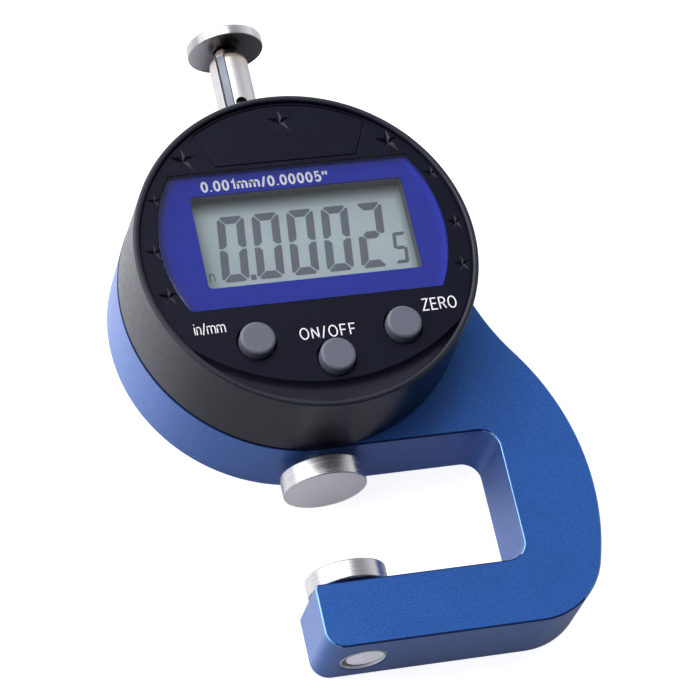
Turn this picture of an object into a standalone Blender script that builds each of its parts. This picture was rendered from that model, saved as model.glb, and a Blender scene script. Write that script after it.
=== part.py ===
"""Digital thickness gauge: a C-frame with a round display head and a lifting spindle.

Metres, +Z out of the display, +Y towards the lifting cap, +X towards the frame's spine.
Every piece is built about the centre of the head, and the empty gauge_origin moves them all so
that the world origin is the centre of the underside of the bounding box.
The gauge lies on its flat back with the spindle fully lifted.
"""
import math

import bmesh
import bpy
from mathutils import Matrix

# Running and seating clearance between separate pieces
CLEAR = 0.0003

# Aluminium C-frame
FRAME_T = 0.0144
DISC_R = 0.0299
CEILING_RISE = 0.0002
THROAT_DEPTH = 0.0300
THROAT_FILLET = 0.0033
SPINE_WIDTH = 0.0146
SPINE_R = 0.0451
SHOULDER_BLEND_R = 0.0400
HEEL_R = 0.0131
ARM_HEIGHT = 0.01145
ARM_END_X = -0.00725
ARM_TOP_CORNER_R = 0.0008
ARM_HEEL_CORNER_R = 0.0032
FRAME_EDGE_CHAMFER = 0.00025

# Works pocket in the frame, its back cover and the ledge for the sensor board
HEAD_WALL = 0.0094
COVER_LEDGE = 0.0050
COVER_SEAT_DEPTH = 0.0020
COVER_INSET = 0.0002
BOARD_LEDGE = 0.0013
BOARD_SEAT_DEPTH = 0.0014
COVER_SCREW_ANGLES = (45, 135, 225, 315)
LOW_BOSS_ANGLES = (210, 330)

# Small screws
SCREW_R = 0.0008
SCREW_HEAD_R = 0.0016
SCREW_HEAD_T = 0.0009
SCREW_DRIVE_R = 0.0007
SCREW_DRIVE_DEPTH = 0.0005
COVER_SCREW_LENGTH = 0.0060
HOUSING_SCREW_LENGTH = 0.0150

# Spindle line, anvils and lifting cap
SPINDLE_Z = 0.0080
SPINDLE_R = 0.0023
SPIGOT_R = 0.0012
SPIGOT_LENGTH = 0.0013
TRAVEL = 0.0153
CLOSED_GAP = 0.0001
ANVIL_LIFT_GAP = 0.0009
UPPER_ANVIL_R = 0.00722
UPPER_ANVIL_T = 0.0040
LOWER_ANVIL_R = 0.00692
LOWER_ANVIL_T = 0.00335
ANVIL_CHAMFER = 0.0003
SLEEVE_R = 0.00345
SLEEVE_TOP_ROUND = 0.0007
SLEEVE_TOP_BELOW_CAP = 0.0026
SLOT_WIDTH = 0.0023
SLOT_RUNOUT = 0.0032
SLOT_AZIMUTH = -37
CROSS_HOLE_R = 0.0011
CROSS_HOLE_BELOW_CAP = 0.0122
CAP_R = 0.00685
CAP_T = 0.0020
CAP_CHAMFER = 0.0002
CAP_UNDERSIDE_Y = 0.0519
BUSH_WALL = 0.0006
BUSH_PROUD = 0.0005

# Lower anvil's screw and the clear plug over it
ANVIL_SCREW_R = 0.0020
ANVIL_SCREW_HEAD_R = 0.0035
ANVIL_SCREW_HEAD_T = 0.0038
ANVIL_SCREW_BITE = 0.0018
HEX_R = 0.0017
HEX_DEPTH = 0.0020
PLUG_R = 0.0038
PLUG_T = 0.0011
PLUG_CROWN = 0.0005
PLUG_INSET = 0.0006

# Carriage on the spindle, its guide, scale and return spring
CARRIAGE_WALL_GAP = 0.0005
CARRIAGE_LENGTH = 0.0080
CARRIAGE_LEFT_X = -0.0105
CARRIAGE_RIGHT_X = 0.0106
CARRIAGE_BACK_Z = 0.0032
GUIDE_ROD_R = 0.0010
GUIDE_ROD_X = -0.0065
GUIDE_ROD_Z = 0.0050
GUIDE_SEAT_DEPTH = 0.0018
GRUB_R = 0.0009
GRUB_T = 0.0009
GRUB_HEX_R = 0.00045
GRUB_HEX_DEPTH = 0.00045
SCALE_T = 0.0008
SCALE_WIDTH = 0.0050
SCALE_LENGTH = 0.0178
SPRING_X = 0.0082
SPRING_COIL_R = 0.0015
SPRING_WIRE_R = 0.00022
SPRING_TURNS = 9
SPRING_PIN_R = 0.0007
SPRING_PIN_LENGTH = 0.0036
SPRING_PIN_REACH = 0.0012

# Black display housing
HOUSING_SETBACK = 0.0003
HOUSING_DRAFT = 0.0004
HOUSING_WALL = 0.0020
HOUSING_HEIGHT = 0.0163
RIM_HEIGHT = 0.0007
RIM_WIDTH = 0.0011
RIM_ROUND = 0.0003
RIM_GROOVE_WIDTH = 0.0003
RIM_GROOVE_DEPTH = 0.0003
FACE_THICKNESS = 0.0029
BOSS_R = 0.0023
BOSS_HOLE_DEPTH = 0.0090
SCOOP_WIDTH = 0.0032
SCOOP_CENTRE_Y = 0.0063
SCOOP_DEPTH = 0.0013

# Display panel and window
PANEL_TOP_SHARE = 0.579
PANEL_BOTTOM_SHARE = -0.338
PANEL_SIDE_MARGIN = 0.0030
PANEL_ARC_Y = 0.0025
PANEL_T = 0.0009
MASK_T = 0.0005
WINDOW_X = 0.0005
WINDOW_SIDE_MARGIN = 0.0062
WINDOW_TOP_MARGIN = 0.0043
WINDOW_BOTTOM_MARGIN = 0.0037
WINDOW_CORNER_R = 0.0006
WINDOW_SKIRT_WALL = 0.0008
LCD_DEPTH = 0.0038
LCD_MARGIN = 0.0008
LCD_T = 0.0011
HOLDER_WALL = 0.0018
STRIP_WIDTH = 0.0016

# Boards
SENSOR_BOARD_T = 0.0009
CHIP_WIDTH = 0.0080
CHIP_LENGTH = 0.0060
CHIP_T = 0.0012
CHIP_X = -0.0080
LINK_WIDTH = 0.0090
LINK_THICKNESS = 0.0025
LINK_FROM_SEAT = 0.0068
MAIN_BOARD_T = 0.0010
MAIN_BOARD_MARGIN = 0.0004

# Push buttons and their switches
BUTTON_RIM_GAP = 0.0070
BUTTON_SPREAD = 38
BUTTON_R = 0.0031
BUTTON_RISE = 0.0025
BUTTON_EDGE = 0.0005
BUTTON_FLANGE_R = 0.0040
BUTTON_FLANGE_T = 0.0008
BUTTON_STEM_R = 0.0014
BUTTON_TRAVEL = 0.0008
SWITCH_WIDTH = 0.0044
SWITCH_T = 0.0014

# Battery, its contacts and its door
BATTERY_R = 0.0058
BATTERY_T = 0.0054
BATTERY_WALL_GAP = 0.0009
BATTERY_HEAD_GAP = 0.0006
BATTERY_STEP = 0.0006
CONTACT_T = 0.0004
CONTACT_R = 0.0040
CLIP_WIDTH = 0.0070
CLIP_BOSS_GAP = 0.0009
DOOR_T = 0.0014
DOOR_RIM_GAP = 0.0002
DOOR_CORNER_ANGLE = 57
DOOR_SIDE_SLOPE = 0.0027
DOOR_PANEL_GAP = 0.0010
BAY_HALF = 0.0070
BAY_LEDGE = 0.0006

# How far the middle of a round corner sits in from its two sides, as a share of its radius
CORNER_CUT = 1 - math.sqrt(0.5)

# Facets around round shapes
FINE = 64
ROUND = 28
SMALL = 12

# Heights and places that follow from the sizes above
THROAT_TOP_Y = -(DISC_R - CEILING_RISE)
UPPER_ANVIL_FACE_Y = THROAT_TOP_Y - ANVIL_LIFT_GAP - UPPER_ANVIL_T
LOWER_ANVIL_FACE_Y = UPPER_ANVIL_FACE_Y - TRAVEL - CLOSED_GAP
ARM_TOP_Y = LOWER_ANVIL_FACE_Y - LOWER_ANVIL_T - CLEAR
ARM_BOTTOM_Y = ARM_TOP_Y - ARM_HEIGHT
CAP_TOP_Y = CAP_UNDERSIDE_Y + CAP_T
SPINE_OUTER_X = THROAT_DEPTH + SPINE_WIDTH
SPINE_CENTRE = (SPINE_OUTER_X - SPINE_R, (THROAT_TOP_Y + ARM_TOP_Y) / 2)
CENTRE_X = (SPINE_OUTER_X - DISC_R) / 2
CENTRE_Y = (CAP_TOP_Y + ARM_BOTTOM_Y) / 2

POCKET_R = DISC_R - HEAD_WALL
COVER_SEAT_R = POCKET_R + COVER_LEDGE
BOARD_SEAT_R = POCKET_R + BOARD_LEDGE
SCREW_RING_R = POCKET_R + COVER_LEDGE / 2
COVER_TOP_Z = COVER_SEAT_DEPTH - CLEAR
BOARD_SEAT_Z = FRAME_T - BOARD_SEAT_DEPTH
SENSOR_BOARD_Z = BOARD_SEAT_Z + CLEAR
SCALE_TOP_Z = SENSOR_BOARD_Z - CLEAR
CARRIAGE_TOP_Z = SCALE_TOP_Z - SCALE_T - CLEAR
CARRIAGE_TOP_Y = math.sqrt(POCKET_R ** 2 - CARRIAGE_RIGHT_X ** 2) - CARRIAGE_WALL_GAP
CARRIAGE_LOW_Y = CARRIAGE_TOP_Y - CARRIAGE_LENGTH
UPPER_BUSH_R = SLEEVE_R + CLEAR + BUSH_WALL
LOWER_BUSH_R = SPINDLE_R + CLEAR + BUSH_WALL

HOUSING_Z = FRAME_T + CLEAR
HOUSING_BASE_R = DISC_R - HOUSING_SETBACK
HOUSING_TOP_R = HOUSING_BASE_R - HOUSING_DRAFT
FACE_R = HOUSING_TOP_R - RIM_WIDTH - RIM_GROOVE_WIDTH
HEAD_TOP_Z = HOUSING_Z + HOUSING_HEIGHT
FACE_Z = HEAD_TOP_Z - RIM_HEIGHT
FACE_BACK_Z = FACE_Z - FACE_THICKNESS
HOUSING_INNER_R = HOUSING_BASE_R - HOUSING_WALL
SCOOP_R = FACE_R + SCOOP_CENTRE_Y - SCOOP_WIDTH
PANEL_ARC_R = FACE_R - PANEL_SIDE_MARGIN
PANEL_TOP_Y = FACE_R * PANEL_TOP_SHARE
PANEL_BOTTOM_Y = FACE_R * PANEL_BOTTOM_SHARE
WINDOW_WIDTH = 2 * (PANEL_ARC_R - WINDOW_SIDE_MARGIN)
WINDOW_TOP_Y = PANEL_TOP_Y - WINDOW_TOP_MARGIN
WINDOW_BOTTOM_Y = PANEL_BOTTOM_Y + WINDOW_BOTTOM_MARGIN
WINDOW_HEIGHT = WINDOW_TOP_Y - WINDOW_BOTTOM_Y
WINDOW_Y = (WINDOW_TOP_Y + WINDOW_BOTTOM_Y) / 2
PANEL_Z = FACE_Z - PANEL_T
MASK_Z = PANEL_Z - CLEAR - MASK_T
PANEL_SEAT_Z = MASK_Z - CLEAR
LCD_TOP_Z = FACE_Z - LCD_DEPTH
LCD_Z = LCD_TOP_Z - LCD_T
BATTERY_Y = HOUSING_INNER_R - BATTERY_WALL_GAP - BATTERY_R
BATTERY_BOSS_X = BATTERY_R + CLEAR + CONTACT_T + CLIP_BOSS_GAP + BOSS_R
BATTERY_BOSS_ANGLE = math.degrees(math.acos(BATTERY_BOSS_X / SCREW_RING_R))
HOUSING_SCREW_ANGLES = (BATTERY_BOSS_ANGLE, 180 - BATTERY_BOSS_ANGLE, *LOW_BOSS_ANGLES)
BATTERY_Z = FACE_BACK_Z - BATTERY_HEAD_GAP - BATTERY_T
ON_BOARD_Z = BATTERY_Z - CLEAR - CONTACT_T
MAIN_BOARD_TOP_Z = ON_BOARD_Z - CLEAR
MAIN_BOARD_Z = MAIN_BOARD_TOP_Z - MAIN_BOARD_T
SWITCH_TOP_Z = ON_BOARD_Z + SWITCH_T
BUTTON_FOOT_Z = SWITCH_TOP_Z + CLEAR + BUTTON_TRAVEL
BUTTON_RING_R = FACE_R - BUTTON_RIM_GAP
BUTTON_ANGLES = {
    "button_units": 270 - BUTTON_SPREAD,
    "button_power": 270,
    "button_zero": 270 + BUTTON_SPREAD,
}
DOOR_Z = FACE_Z - DOOR_T
DOOR_ARC_R = FACE_R - DOOR_RIM_GAP
DOOR_TOP_HALF = DOOR_ARC_R * math.cos(math.radians(DOOR_CORNER_ANGLE))
DOOR_BOTTOM_HALF = DOOR_TOP_HALF - DOOR_SIDE_SLOPE
DOOR_BOTTOM_Y = PANEL_TOP_Y + DOOR_PANEL_GAP

COLOURS = {
    "blue_anodised": ((0.03, 0.13, 0.46), 0.38, 0.85),
    "black_housing": ((0.012, 0.012, 0.016), 0.45, 0.0),
    "panel_clear": ((0.85, 0.90, 0.95), 0.05, 0.0),
    "panel_blue": ((0.03, 0.04, 0.30), 0.25, 0.0),
    "lcd": ((0.36, 0.42, 0.41), 0.20, 0.0),
    "button_grey": ((0.20, 0.21, 0.24), 0.55, 0.0),
    "polished_steel": ((0.72, 0.71, 0.72), 0.18, 1.0),
    "spindle_steel": ((0.48, 0.50, 0.55), 0.25, 1.0),
    "screw_steel": ((0.45, 0.45, 0.46), 0.30, 1.0),
    "spring_steel": ((0.40, 0.40, 0.42), 0.30, 1.0),
    "brass": ((0.62, 0.45, 0.16), 0.30, 1.0),
    "clear_plug": ((0.55, 0.56, 0.62), 0.20, 0.0),
    "carriage_alloy": ((0.50, 0.51, 0.53), 0.40, 1.0),
    "scale_green": ((0.03, 0.16, 0.08), 0.35, 0.0),
    "board_green": ((0.02, 0.14, 0.06), 0.45, 0.0),
    "chip_black": ((0.02, 0.02, 0.02), 0.50, 0.0),
    "holder_grey": ((0.05, 0.05, 0.06), 0.55, 0.0),
    "strip_rubber": ((0.10, 0.10, 0.11), 0.70, 0.0),
    "nickel": ((0.62, 0.60, 0.55), 0.25, 1.0),
}


def make_materials():
    """One Principled material for each finish."""
    made = {}
    for name, (colour, roughness, metallic) in COLOURS.items():
        material = bpy.data.materials.new(name)
        material.use_nodes = True
        shader = material.node_tree.nodes["Principled BSDF"]
        shader.inputs["Base Color"].default_value = (*colour, 1.0)
        shader.inputs["Roughness"].default_value = roughness
        shader.inputs["Metallic"].default_value = metallic
        material.diffuse_color = (*colour, 1.0)
        made[name] = material
    return made


def add_object(name, bm, finish, location=(0.0, 0.0, 0.0), rotation=(0.0, 0.0, 0.0)):
    """Turn a bmesh into an object of its own under the gauge's empty."""
    bmesh.ops.remove_doubles(bm, verts=bm.verts, dist=1e-7)
    bmesh.ops.recalc_face_normals(bm, faces=bm.faces)
    mesh = bpy.data.meshes.new(name)
    bm.to_mesh(mesh)
    bm.free()
    mesh.shade_smooth()
    mesh.set_sharp_from_angle(angle=math.radians(35))
    if finish is not None:
        mesh.materials.append(MATERIALS[finish])
    piece = bpy.data.objects.new(name, mesh)
    piece.location = location
    piece.rotation_euler = rotation
    piece.parent = ORIGIN
    bpy.context.scene.collection.objects.link(piece)
    return piece


def combine(piece, operation, name, bm, location=(0.0, 0.0, 0.0), rotation=(0.0, 0.0, 0.0)):
    """Cut a shape from a piece, or join one to it, through a Boolean with a hidden guide."""
    guide = add_object(name, bm, None, location, rotation)
    guide.display_type = "WIRE"
    guide.hide_render = True
    boolean = piece.modifiers.new(name, "BOOLEAN")
    boolean.operation = operation
    boolean.solver = "EXACT"
    boolean.object = guide
    return guide


def cut(piece, name, bm, location=(0.0, 0.0, 0.0), rotation=(0.0, 0.0, 0.0)):
    return combine(piece, "DIFFERENCE", name, bm, location, rotation)


def join(piece, name, bm, location=(0.0, 0.0, 0.0), rotation=(0.0, 0.0, 0.0)):
    return combine(piece, "UNION", name, bm, location, rotation)


def arc(centre, radius, start, end, steps):
    """Points along an arc, angles in degrees, both ends included."""
    points = []
    for step in range(steps + 1):
        angle = math.radians(start + (end - start) * step / steps)
        points.append((centre[0] + radius * math.cos(angle), centre[1] + radius * math.sin(angle)))
    return points


def rounded_rectangle(centre, width, height, radius, steps=4):
    """Outline of a rectangle with round corners."""
    points = []
    for right, top, start in ((1, 1, 0), (-1, 1, 90), (-1, -1, 180), (1, -1, 270)):
        corner = (
            centre[0] + right * (width / 2 - radius),
            centre[1] + top * (height / 2 - radius),
        )
        points += arc(corner, radius, start, start + 90, steps)
    return points


def prism(outline, low, high):
    """Solid with a flat outline, extruded along Z."""
    bm = bmesh.new()
    verts = [bm.verts.new((x, y, low)) for x, y in outline]
    face = bm.faces.new(verts)
    made = bmesh.ops.extrude_face_region(bm, geom=[face])
    raised = [item for item in made["geom"] if isinstance(item, bmesh.types.BMVert)]
    bmesh.ops.translate(bm, verts=raised, vec=(0.0, 0.0, high - low))
    return bm


def box(x_range, y_range, z_range):
    """Box between two corners."""
    (x0, x1), (y0, y1), (z0, z1) = x_range, y_range, z_range
    return prism([(x0, y0), (x1, y0), (x1, y1), (x0, y1)], z0, z1)


def turned(profile, segments):
    """Solid turned about Z from a profile of (radius, height) points.

    A profile that starts and ends on the axis is a solid piece, any other one is a ring.
    """
    bm = bmesh.new()
    verts = [bm.verts.new((radius, 0.0, height)) for radius, height in profile]
    edges = [bm.edges.new(pair) for pair in zip(verts, verts[1:])]
    if profile[0][0] > 0.0:
        edges.append(bm.edges.new((verts[-1], verts[0])))
    bmesh.ops.spin(
        bm,
        geom=verts + edges,
        cent=(0.0, 0.0, 0.0),
        axis=(0.0, 0.0, 1.0),
        angle=math.tau,
        steps=segments,
        use_merge=True,
    )
    bmesh.ops.remove_doubles(bm, verts=bm.verts, dist=1e-7)
    hubs = [vert for vert in bm.verts if math.hypot(vert.co.x, vert.co.y) < 1e-7]
    bmesh.ops.dissolve_verts(bm, verts=hubs)
    return bm


def cylinder(radius, low, high, segments):
    """Plain cylinder along Z."""
    return turned([(0.0, low), (radius, low), (radius, high), (0.0, high)], segments)


def tube(outer, inner, low, high, segments):
    """Plain tube along Z."""
    return turned([(inner, low), (outer, low), (outer, high), (inner, high)], segments)


def on_ring(angle, radius=SCREW_RING_R):
    """Place on a circle about the head's centre."""
    return (radius * math.cos(math.radians(angle)), radius * math.sin(math.radians(angle)))


# A piece turned about Z stands along +Y on the spindle's line with this rotation
ALONG_Y = (-math.pi / 2, 0.0, 0.0)
SPINDLE_AXIS = (0.0, 0.0, SPINDLE_Z)


def shoulder_centre():
    """Centre of the concave arc that touches the head's disc and the spine's outer arc."""
    from_disc = DISC_R + SHOULDER_BLEND_R
    from_spine = SPINE_R + SHOULDER_BLEND_R
    sx, sy = SPINE_CENTRE
    apart = math.hypot(sx, sy)
    along = (from_disc ** 2 - from_spine ** 2 + apart ** 2) / (2 * apart)
    across = math.sqrt(from_disc ** 2 - along ** 2)
    ux, uy = sx / apart, sy / apart
    return (along * ux - across * uy, along * uy + across * ux)


def bearing(origin, target):
    """Angle in degrees from one point to another."""
    return math.degrees(math.atan2(target[1] - origin[1], target[0] - origin[0]))


def frame_outline():
    """Outer shape of the C-frame, counter-clockwise, as lines and tangent arcs."""
    disc = (0.0, 0.0)
    shoulder = shoulder_centre()
    heel_y = ARM_BOTTOM_Y + HEEL_R
    reach = SPINE_R - HEEL_R
    heel = (SPINE_CENTRE[0] + math.sqrt(reach ** 2 - (heel_y - SPINE_CENTRE[1]) ** 2), heel_y)
    flat_angle = math.degrees(math.asin(-THROAT_TOP_Y / DISC_R))
    heel_angle = bearing(SPINE_CENTRE, heel)
    fillet = THROAT_FILLET
    points = arc(disc, DISC_R, bearing(disc, shoulder), 180 + flat_angle, 56)
    points += arc((THROAT_DEPTH - fillet, THROAT_TOP_Y - fillet), fillet, 90, 0, 6)
    points += arc((THROAT_DEPTH - fillet, ARM_TOP_Y + fillet), fillet, 0, -90, 6)
    corner = ARM_TOP_CORNER_R
    points += arc((ARM_END_X + corner, ARM_TOP_Y - corner), corner, 90, 180, 3)
    corner = ARM_HEEL_CORNER_R
    points += arc((ARM_END_X + corner, ARM_BOTTOM_Y + corner), corner, 180, 270, 6)
    points += arc(heel, HEEL_R, -90, heel_angle, 9)
    points += arc(SPINE_CENTRE, SPINE_R, heel_angle, bearing(SPINE_CENTRE, shoulder), 15)[1:]
    blend_start = bearing(shoulder, SPINE_CENTRE) % 360
    blend_end = bearing(shoulder, disc) % 360
    points += arc(shoulder, SHOULDER_BLEND_R, blend_start, blend_end, 7)[1:-1]
    return points


def make_frame():
    """C-frame with its works pocket, bush bores, screw holes and the arm's screw hole."""
    frame = add_object("frame", prism(frame_outline(), 0.0, FRAME_T), "blue_anodised")
    chamfer = frame.modifiers.new("edge_chamfer", "BEVEL")
    chamfer.width = FRAME_EDGE_CHAMFER
    chamfer.segments = 1
    chamfer.limit_method = "ANGLE"
    chamfer.angle_limit = math.radians(60)
    past = FRAME_T
    pocket = [
        (0.0, -past),
        (COVER_SEAT_R, -past),
        (COVER_SEAT_R, COVER_SEAT_DEPTH),
        (POCKET_R, COVER_SEAT_DEPTH),
        (POCKET_R, BOARD_SEAT_Z),
        (BOARD_SEAT_R, BOARD_SEAT_Z),
        (BOARD_SEAT_R, FRAME_T + past),
        (0.0, FRAME_T + past),
    ]
    cut(frame, "works_pocket_cut", turned(pocket, FINE))
    bore = cylinder(UPPER_BUSH_R + CLEAR, 0.0, DISC_R + past, ROUND)
    cut(frame, "upper_bore_cut", bore, SPINDLE_AXIS, ALONG_Y)
    bore = cylinder(LOWER_BUSH_R + CLEAR, -DISC_R - past, 0.0, ROUND)
    cut(frame, "lower_bore_cut", bore, SPINDLE_AXIS, ALONG_Y)
    cut(frame, "anvil_screw_cut", anvil_screw_bore(), SPINDLE_AXIS, ALONG_Y)
    guide = cylinder(GUIDE_ROD_R + CLEAR, -guide_reach() - CLEAR, guide_reach() + CLEAR, SMALL)
    cut(frame, "guide_rod_cut", guide, (GUIDE_ROD_X, 0.0, GUIDE_ROD_Z), ALONG_Y)
    low, high = spring_pin_span()
    pin = cylinder(SPRING_PIN_R + CLEAR, low - CLEAR, high, SMALL)
    cut(frame, "spring_pin_cut", pin, (SPRING_X, 0.0, SPINDLE_Z), ALONG_Y)
    depth = COVER_SCREW_LENGTH + SCREW_HEAD_T + COVER_SEAT_DEPTH
    for angle in COVER_SCREW_ANGLES:
        hole = cylinder(SCREW_R + CLEAR, 0.0, depth, SMALL)
        cut(frame, f"cover_screw_cut_{angle}", hole, (*on_ring(angle), 0.0))
    for angle in HOUSING_SCREW_ANGLES:
        head_room = COVER_SEAT_DEPTH + SCREW_HEAD_T + CLEAR
        profile = [
            (0.0, 0.0),
            (SCREW_HEAD_R + CLEAR, 0.0),
            (SCREW_HEAD_R + CLEAR, head_room),
            (SCREW_R + CLEAR, head_room),
            (SCREW_R + CLEAR, FRAME_T + past),
            (0.0, FRAME_T + past),
        ]
        cut(frame, f"housing_screw_cut_{angle:.0f}", turned(profile, SMALL), (*on_ring(angle), 0.0))
    return frame


def anvil_screw_bore():
    """Stepped hole up through the arm: the plug and screw head's seat, then the shank's hole."""
    seat_y = ARM_BOTTOM_Y + PLUG_INSET + PLUG_T + CLEAR + ANVIL_SCREW_HEAD_T + CLEAR
    seat_r = PLUG_R + CLEAR
    past = ARM_HEIGHT
    profile = [
        (0.0, ARM_BOTTOM_Y - past),
        (seat_r, ARM_BOTTOM_Y - past),
        (seat_r, seat_y),
        (ANVIL_SCREW_R + CLEAR, seat_y),
        (ANVIL_SCREW_R + CLEAR, ARM_TOP_Y + LOWER_ANVIL_T),
        (0.0, ARM_TOP_Y + LOWER_ANVIL_T),
    ]
    return turned(profile, ROUND)


def guide_reach():
    """Half the guide rod's length: from the spindle's middle into both pocket walls."""
    wall = math.sqrt(POCKET_R ** 2 - GUIDE_ROD_X ** 2)
    return wall + GUIDE_SEAT_DEPTH


def spring_foot():
    """Height along Y where the spring's lower turn clears the round wall of the pocket."""
    outer = SPRING_X + SPRING_COIL_R + SPRING_WIRE_R
    return CLEAR + SPRING_WIRE_R - math.sqrt(POCKET_R ** 2 - outer ** 2)


def spring_pin_span():
    """The spring pin's two ends along Y: in the pocket's lower wall and just inside the spring."""
    high = spring_foot() + SPRING_PIN_REACH
    return high - SPRING_PIN_LENGTH, high


def make_back_cover():
    """Round plate that closes the works pocket from behind."""
    plate = cylinder(COVER_SEAT_R - CLEAR, COVER_INSET, COVER_TOP_Z, FINE)
    cover = add_object("back_cover", plate, "blue_anodised")
    head_room = COVER_INSET + SCREW_HEAD_T + CLEAR
    for angle in COVER_SCREW_ANGLES:
        profile = [
            (0.0, -COVER_SEAT_DEPTH),
            (SCREW_HEAD_R + CLEAR, -COVER_SEAT_DEPTH),
            (SCREW_HEAD_R + CLEAR, head_room),
            (SCREW_R + CLEAR, head_room),
            (SCREW_R + CLEAR, COVER_SEAT_DEPTH + CLEAR),
            (0.0, COVER_SEAT_DEPTH + CLEAR),
        ]
        cut(cover, f"cover_hole_{angle}", turned(profile, SMALL), (*on_ring(angle), 0.0))
    return cover


def screw(name, length, location):
    """Pan-head screw that points along +Z, with a round drive recess."""
    profile = [
        (0.0, SCREW_DRIVE_DEPTH),
        (SCREW_DRIVE_R, SCREW_DRIVE_DEPTH),
        (SCREW_DRIVE_R, 0.0),
        (SCREW_HEAD_R, 0.0),
        (SCREW_HEAD_R, SCREW_HEAD_T),
        (SCREW_R, SCREW_HEAD_T),
        (SCREW_R, SCREW_HEAD_T + length),
        (0.0, SCREW_HEAD_T + length),
    ]
    return add_object(name, turned(profile, SMALL), "screw_steel", location)


def make_screws():
    """Four screws of the back cover and four that hold the housing to the frame."""
    for number, angle in enumerate(COVER_SCREW_ANGLES, start=1):
        screw(f"cover_screw_{number}", COVER_SCREW_LENGTH, (*on_ring(angle), COVER_INSET))
    for number, angle in enumerate(HOUSING_SCREW_ANGLES, start=1):
        place = (*on_ring(angle), COVER_SEAT_DEPTH)
        screw(f"housing_screw_{number}", HOUSING_SCREW_LENGTH, place)


def make_bushes():
    """Brass guide bushes of the lifting sleeve and of the spindle."""
    wall_top = math.sqrt(POCKET_R ** 2 - UPPER_BUSH_R ** 2) + CLEAR
    ring = tube(UPPER_BUSH_R, SLEEVE_R + CLEAR, wall_top, DISC_R + BUSH_PROUD, ROUND)
    add_object("upper_bush", ring, "brass", SPINDLE_AXIS, ALONG_Y)
    wall_low = -math.sqrt(POCKET_R ** 2 - LOWER_BUSH_R ** 2) - CLEAR
    ring = tube(LOWER_BUSH_R, SPINDLE_R + CLEAR, THROAT_TOP_Y + CLEAR, wall_low, ROUND)
    add_object("lower_bush", ring, "brass", SPINDLE_AXIS, ALONG_Y)


def make_spindle():
    """Ground rod with a spigot at each end for the anvil and the cap."""
    low = UPPER_ANVIL_FACE_Y + UPPER_ANVIL_T + CLEAR
    high = CAP_UNDERSIDE_Y - CLEAR
    profile = [
        (0.0, low - SPIGOT_LENGTH),
        (SPIGOT_R, low - SPIGOT_LENGTH),
        (SPIGOT_R, low),
        (SPINDLE_R, low),
        (SPINDLE_R, high),
        (SPIGOT_R, high),
        (SPIGOT_R, high + SPIGOT_LENGTH),
        (0.0, high + SPIGOT_LENGTH),
    ]
    add_object("spindle", turned(profile, ROUND), "spindle_steel", SPINDLE_AXIS, ALONG_Y)


def make_lift_sleeve():
    """Slotted sleeve on the upper spindle, with a rounded top edge and a cross hole."""
    low = CARRIAGE_TOP_Y + CLEAR
    high = CAP_UNDERSIDE_Y - SLEEVE_TOP_BELOW_CAP
    bore = SPINDLE_R + CLEAR
    slot_foot = high - TRAVEL - SLOT_RUNOUT
    top_round = arc((SLEEVE_R - SLEEVE_TOP_ROUND, high - SLEEVE_TOP_ROUND), SLEEVE_TOP_ROUND, 0, 90, 4)
    profile = [(bore, low), (SLEEVE_R, low)] + top_round + [(bore, high)]
    sleeve = add_object("lift_sleeve", turned(profile, ROUND), "polished_steel", SPINDLE_AXIS, ALONG_Y)
    slot = box((-SLOT_WIDTH / 2, SLOT_WIDTH / 2), (-2 * SLEEVE_R, 0.0), (slot_foot, high + bore))
    bmesh.ops.rotate(
        slot,
        verts=slot.verts,
        cent=(0.0, 0.0, 0.0),
        matrix=Matrix.Rotation(math.radians(SLOT_AZIMUTH), 3, "Z"),
    )
    cut(sleeve, "sleeve_slot_cut", slot, SPINDLE_AXIS, ALONG_Y)
    hole_place = (0.0, CAP_UNDERSIDE_Y - CROSS_HOLE_BELOW_CAP, SPINDLE_Z)
    cut(sleeve, "sleeve_hole_cut", cylinder(CROSS_HOLE_R, 0.0, 2 * SLEEVE_R, SMALL), hole_place)


def chamfered_disc(radius, low, high, chamfer, pit_r, pit_from, pit_depth):
    """Disc along Z with chamfered edges and a blind hole in its low or its high face."""
    outer = [
        (radius - chamfer, low),
        (radius, low + chamfer),
        (radius, high - chamfer),
        (radius - chamfer, high),
    ]
    if pit_from == "low":
        start = [(0.0, low + pit_depth), (pit_r, low + pit_depth), (pit_r, low)]
        return turned(start + outer + [(0.0, high)], ROUND + SMALL)
    end = [(pit_r, high), (pit_r, high - pit_depth), (0.0, high - pit_depth)]
    return turned([(0.0, low)] + outer + end, ROUND + SMALL)


def make_cap_and_anvils():
    """Lifting cap, moving upper anvil and fixed lower anvil."""
    pit_r = SPIGOT_R + CLEAR
    pit_depth = SPIGOT_LENGTH
    cap = chamfered_disc(CAP_R, CAP_UNDERSIDE_Y, CAP_TOP_Y, CAP_CHAMFER, pit_r, "low", pit_depth)
    add_object("lift_cap", cap, "polished_steel", SPINDLE_AXIS, ALONG_Y)
    top = UPPER_ANVIL_FACE_Y + UPPER_ANVIL_T
    anvil = chamfered_disc(
        UPPER_ANVIL_R, UPPER_ANVIL_FACE_Y, top, ANVIL_CHAMFER, pit_r, "high", pit_depth
    )
    add_object("upper_anvil", anvil, "polished_steel", SPINDLE_AXIS, ALONG_Y)
    low = LOWER_ANVIL_FACE_Y - LOWER_ANVIL_T
    pit_r = ANVIL_SCREW_R + CLEAR
    pit_depth = ANVIL_SCREW_BITE + CLEAR
    anvil = chamfered_disc(
        LOWER_ANVIL_R, low, LOWER_ANVIL_FACE_Y, ANVIL_CHAMFER, pit_r, "low", pit_depth
    )
    add_object("lower_anvil", anvil, "polished_steel", SPINDLE_AXIS, ALONG_Y)


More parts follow.
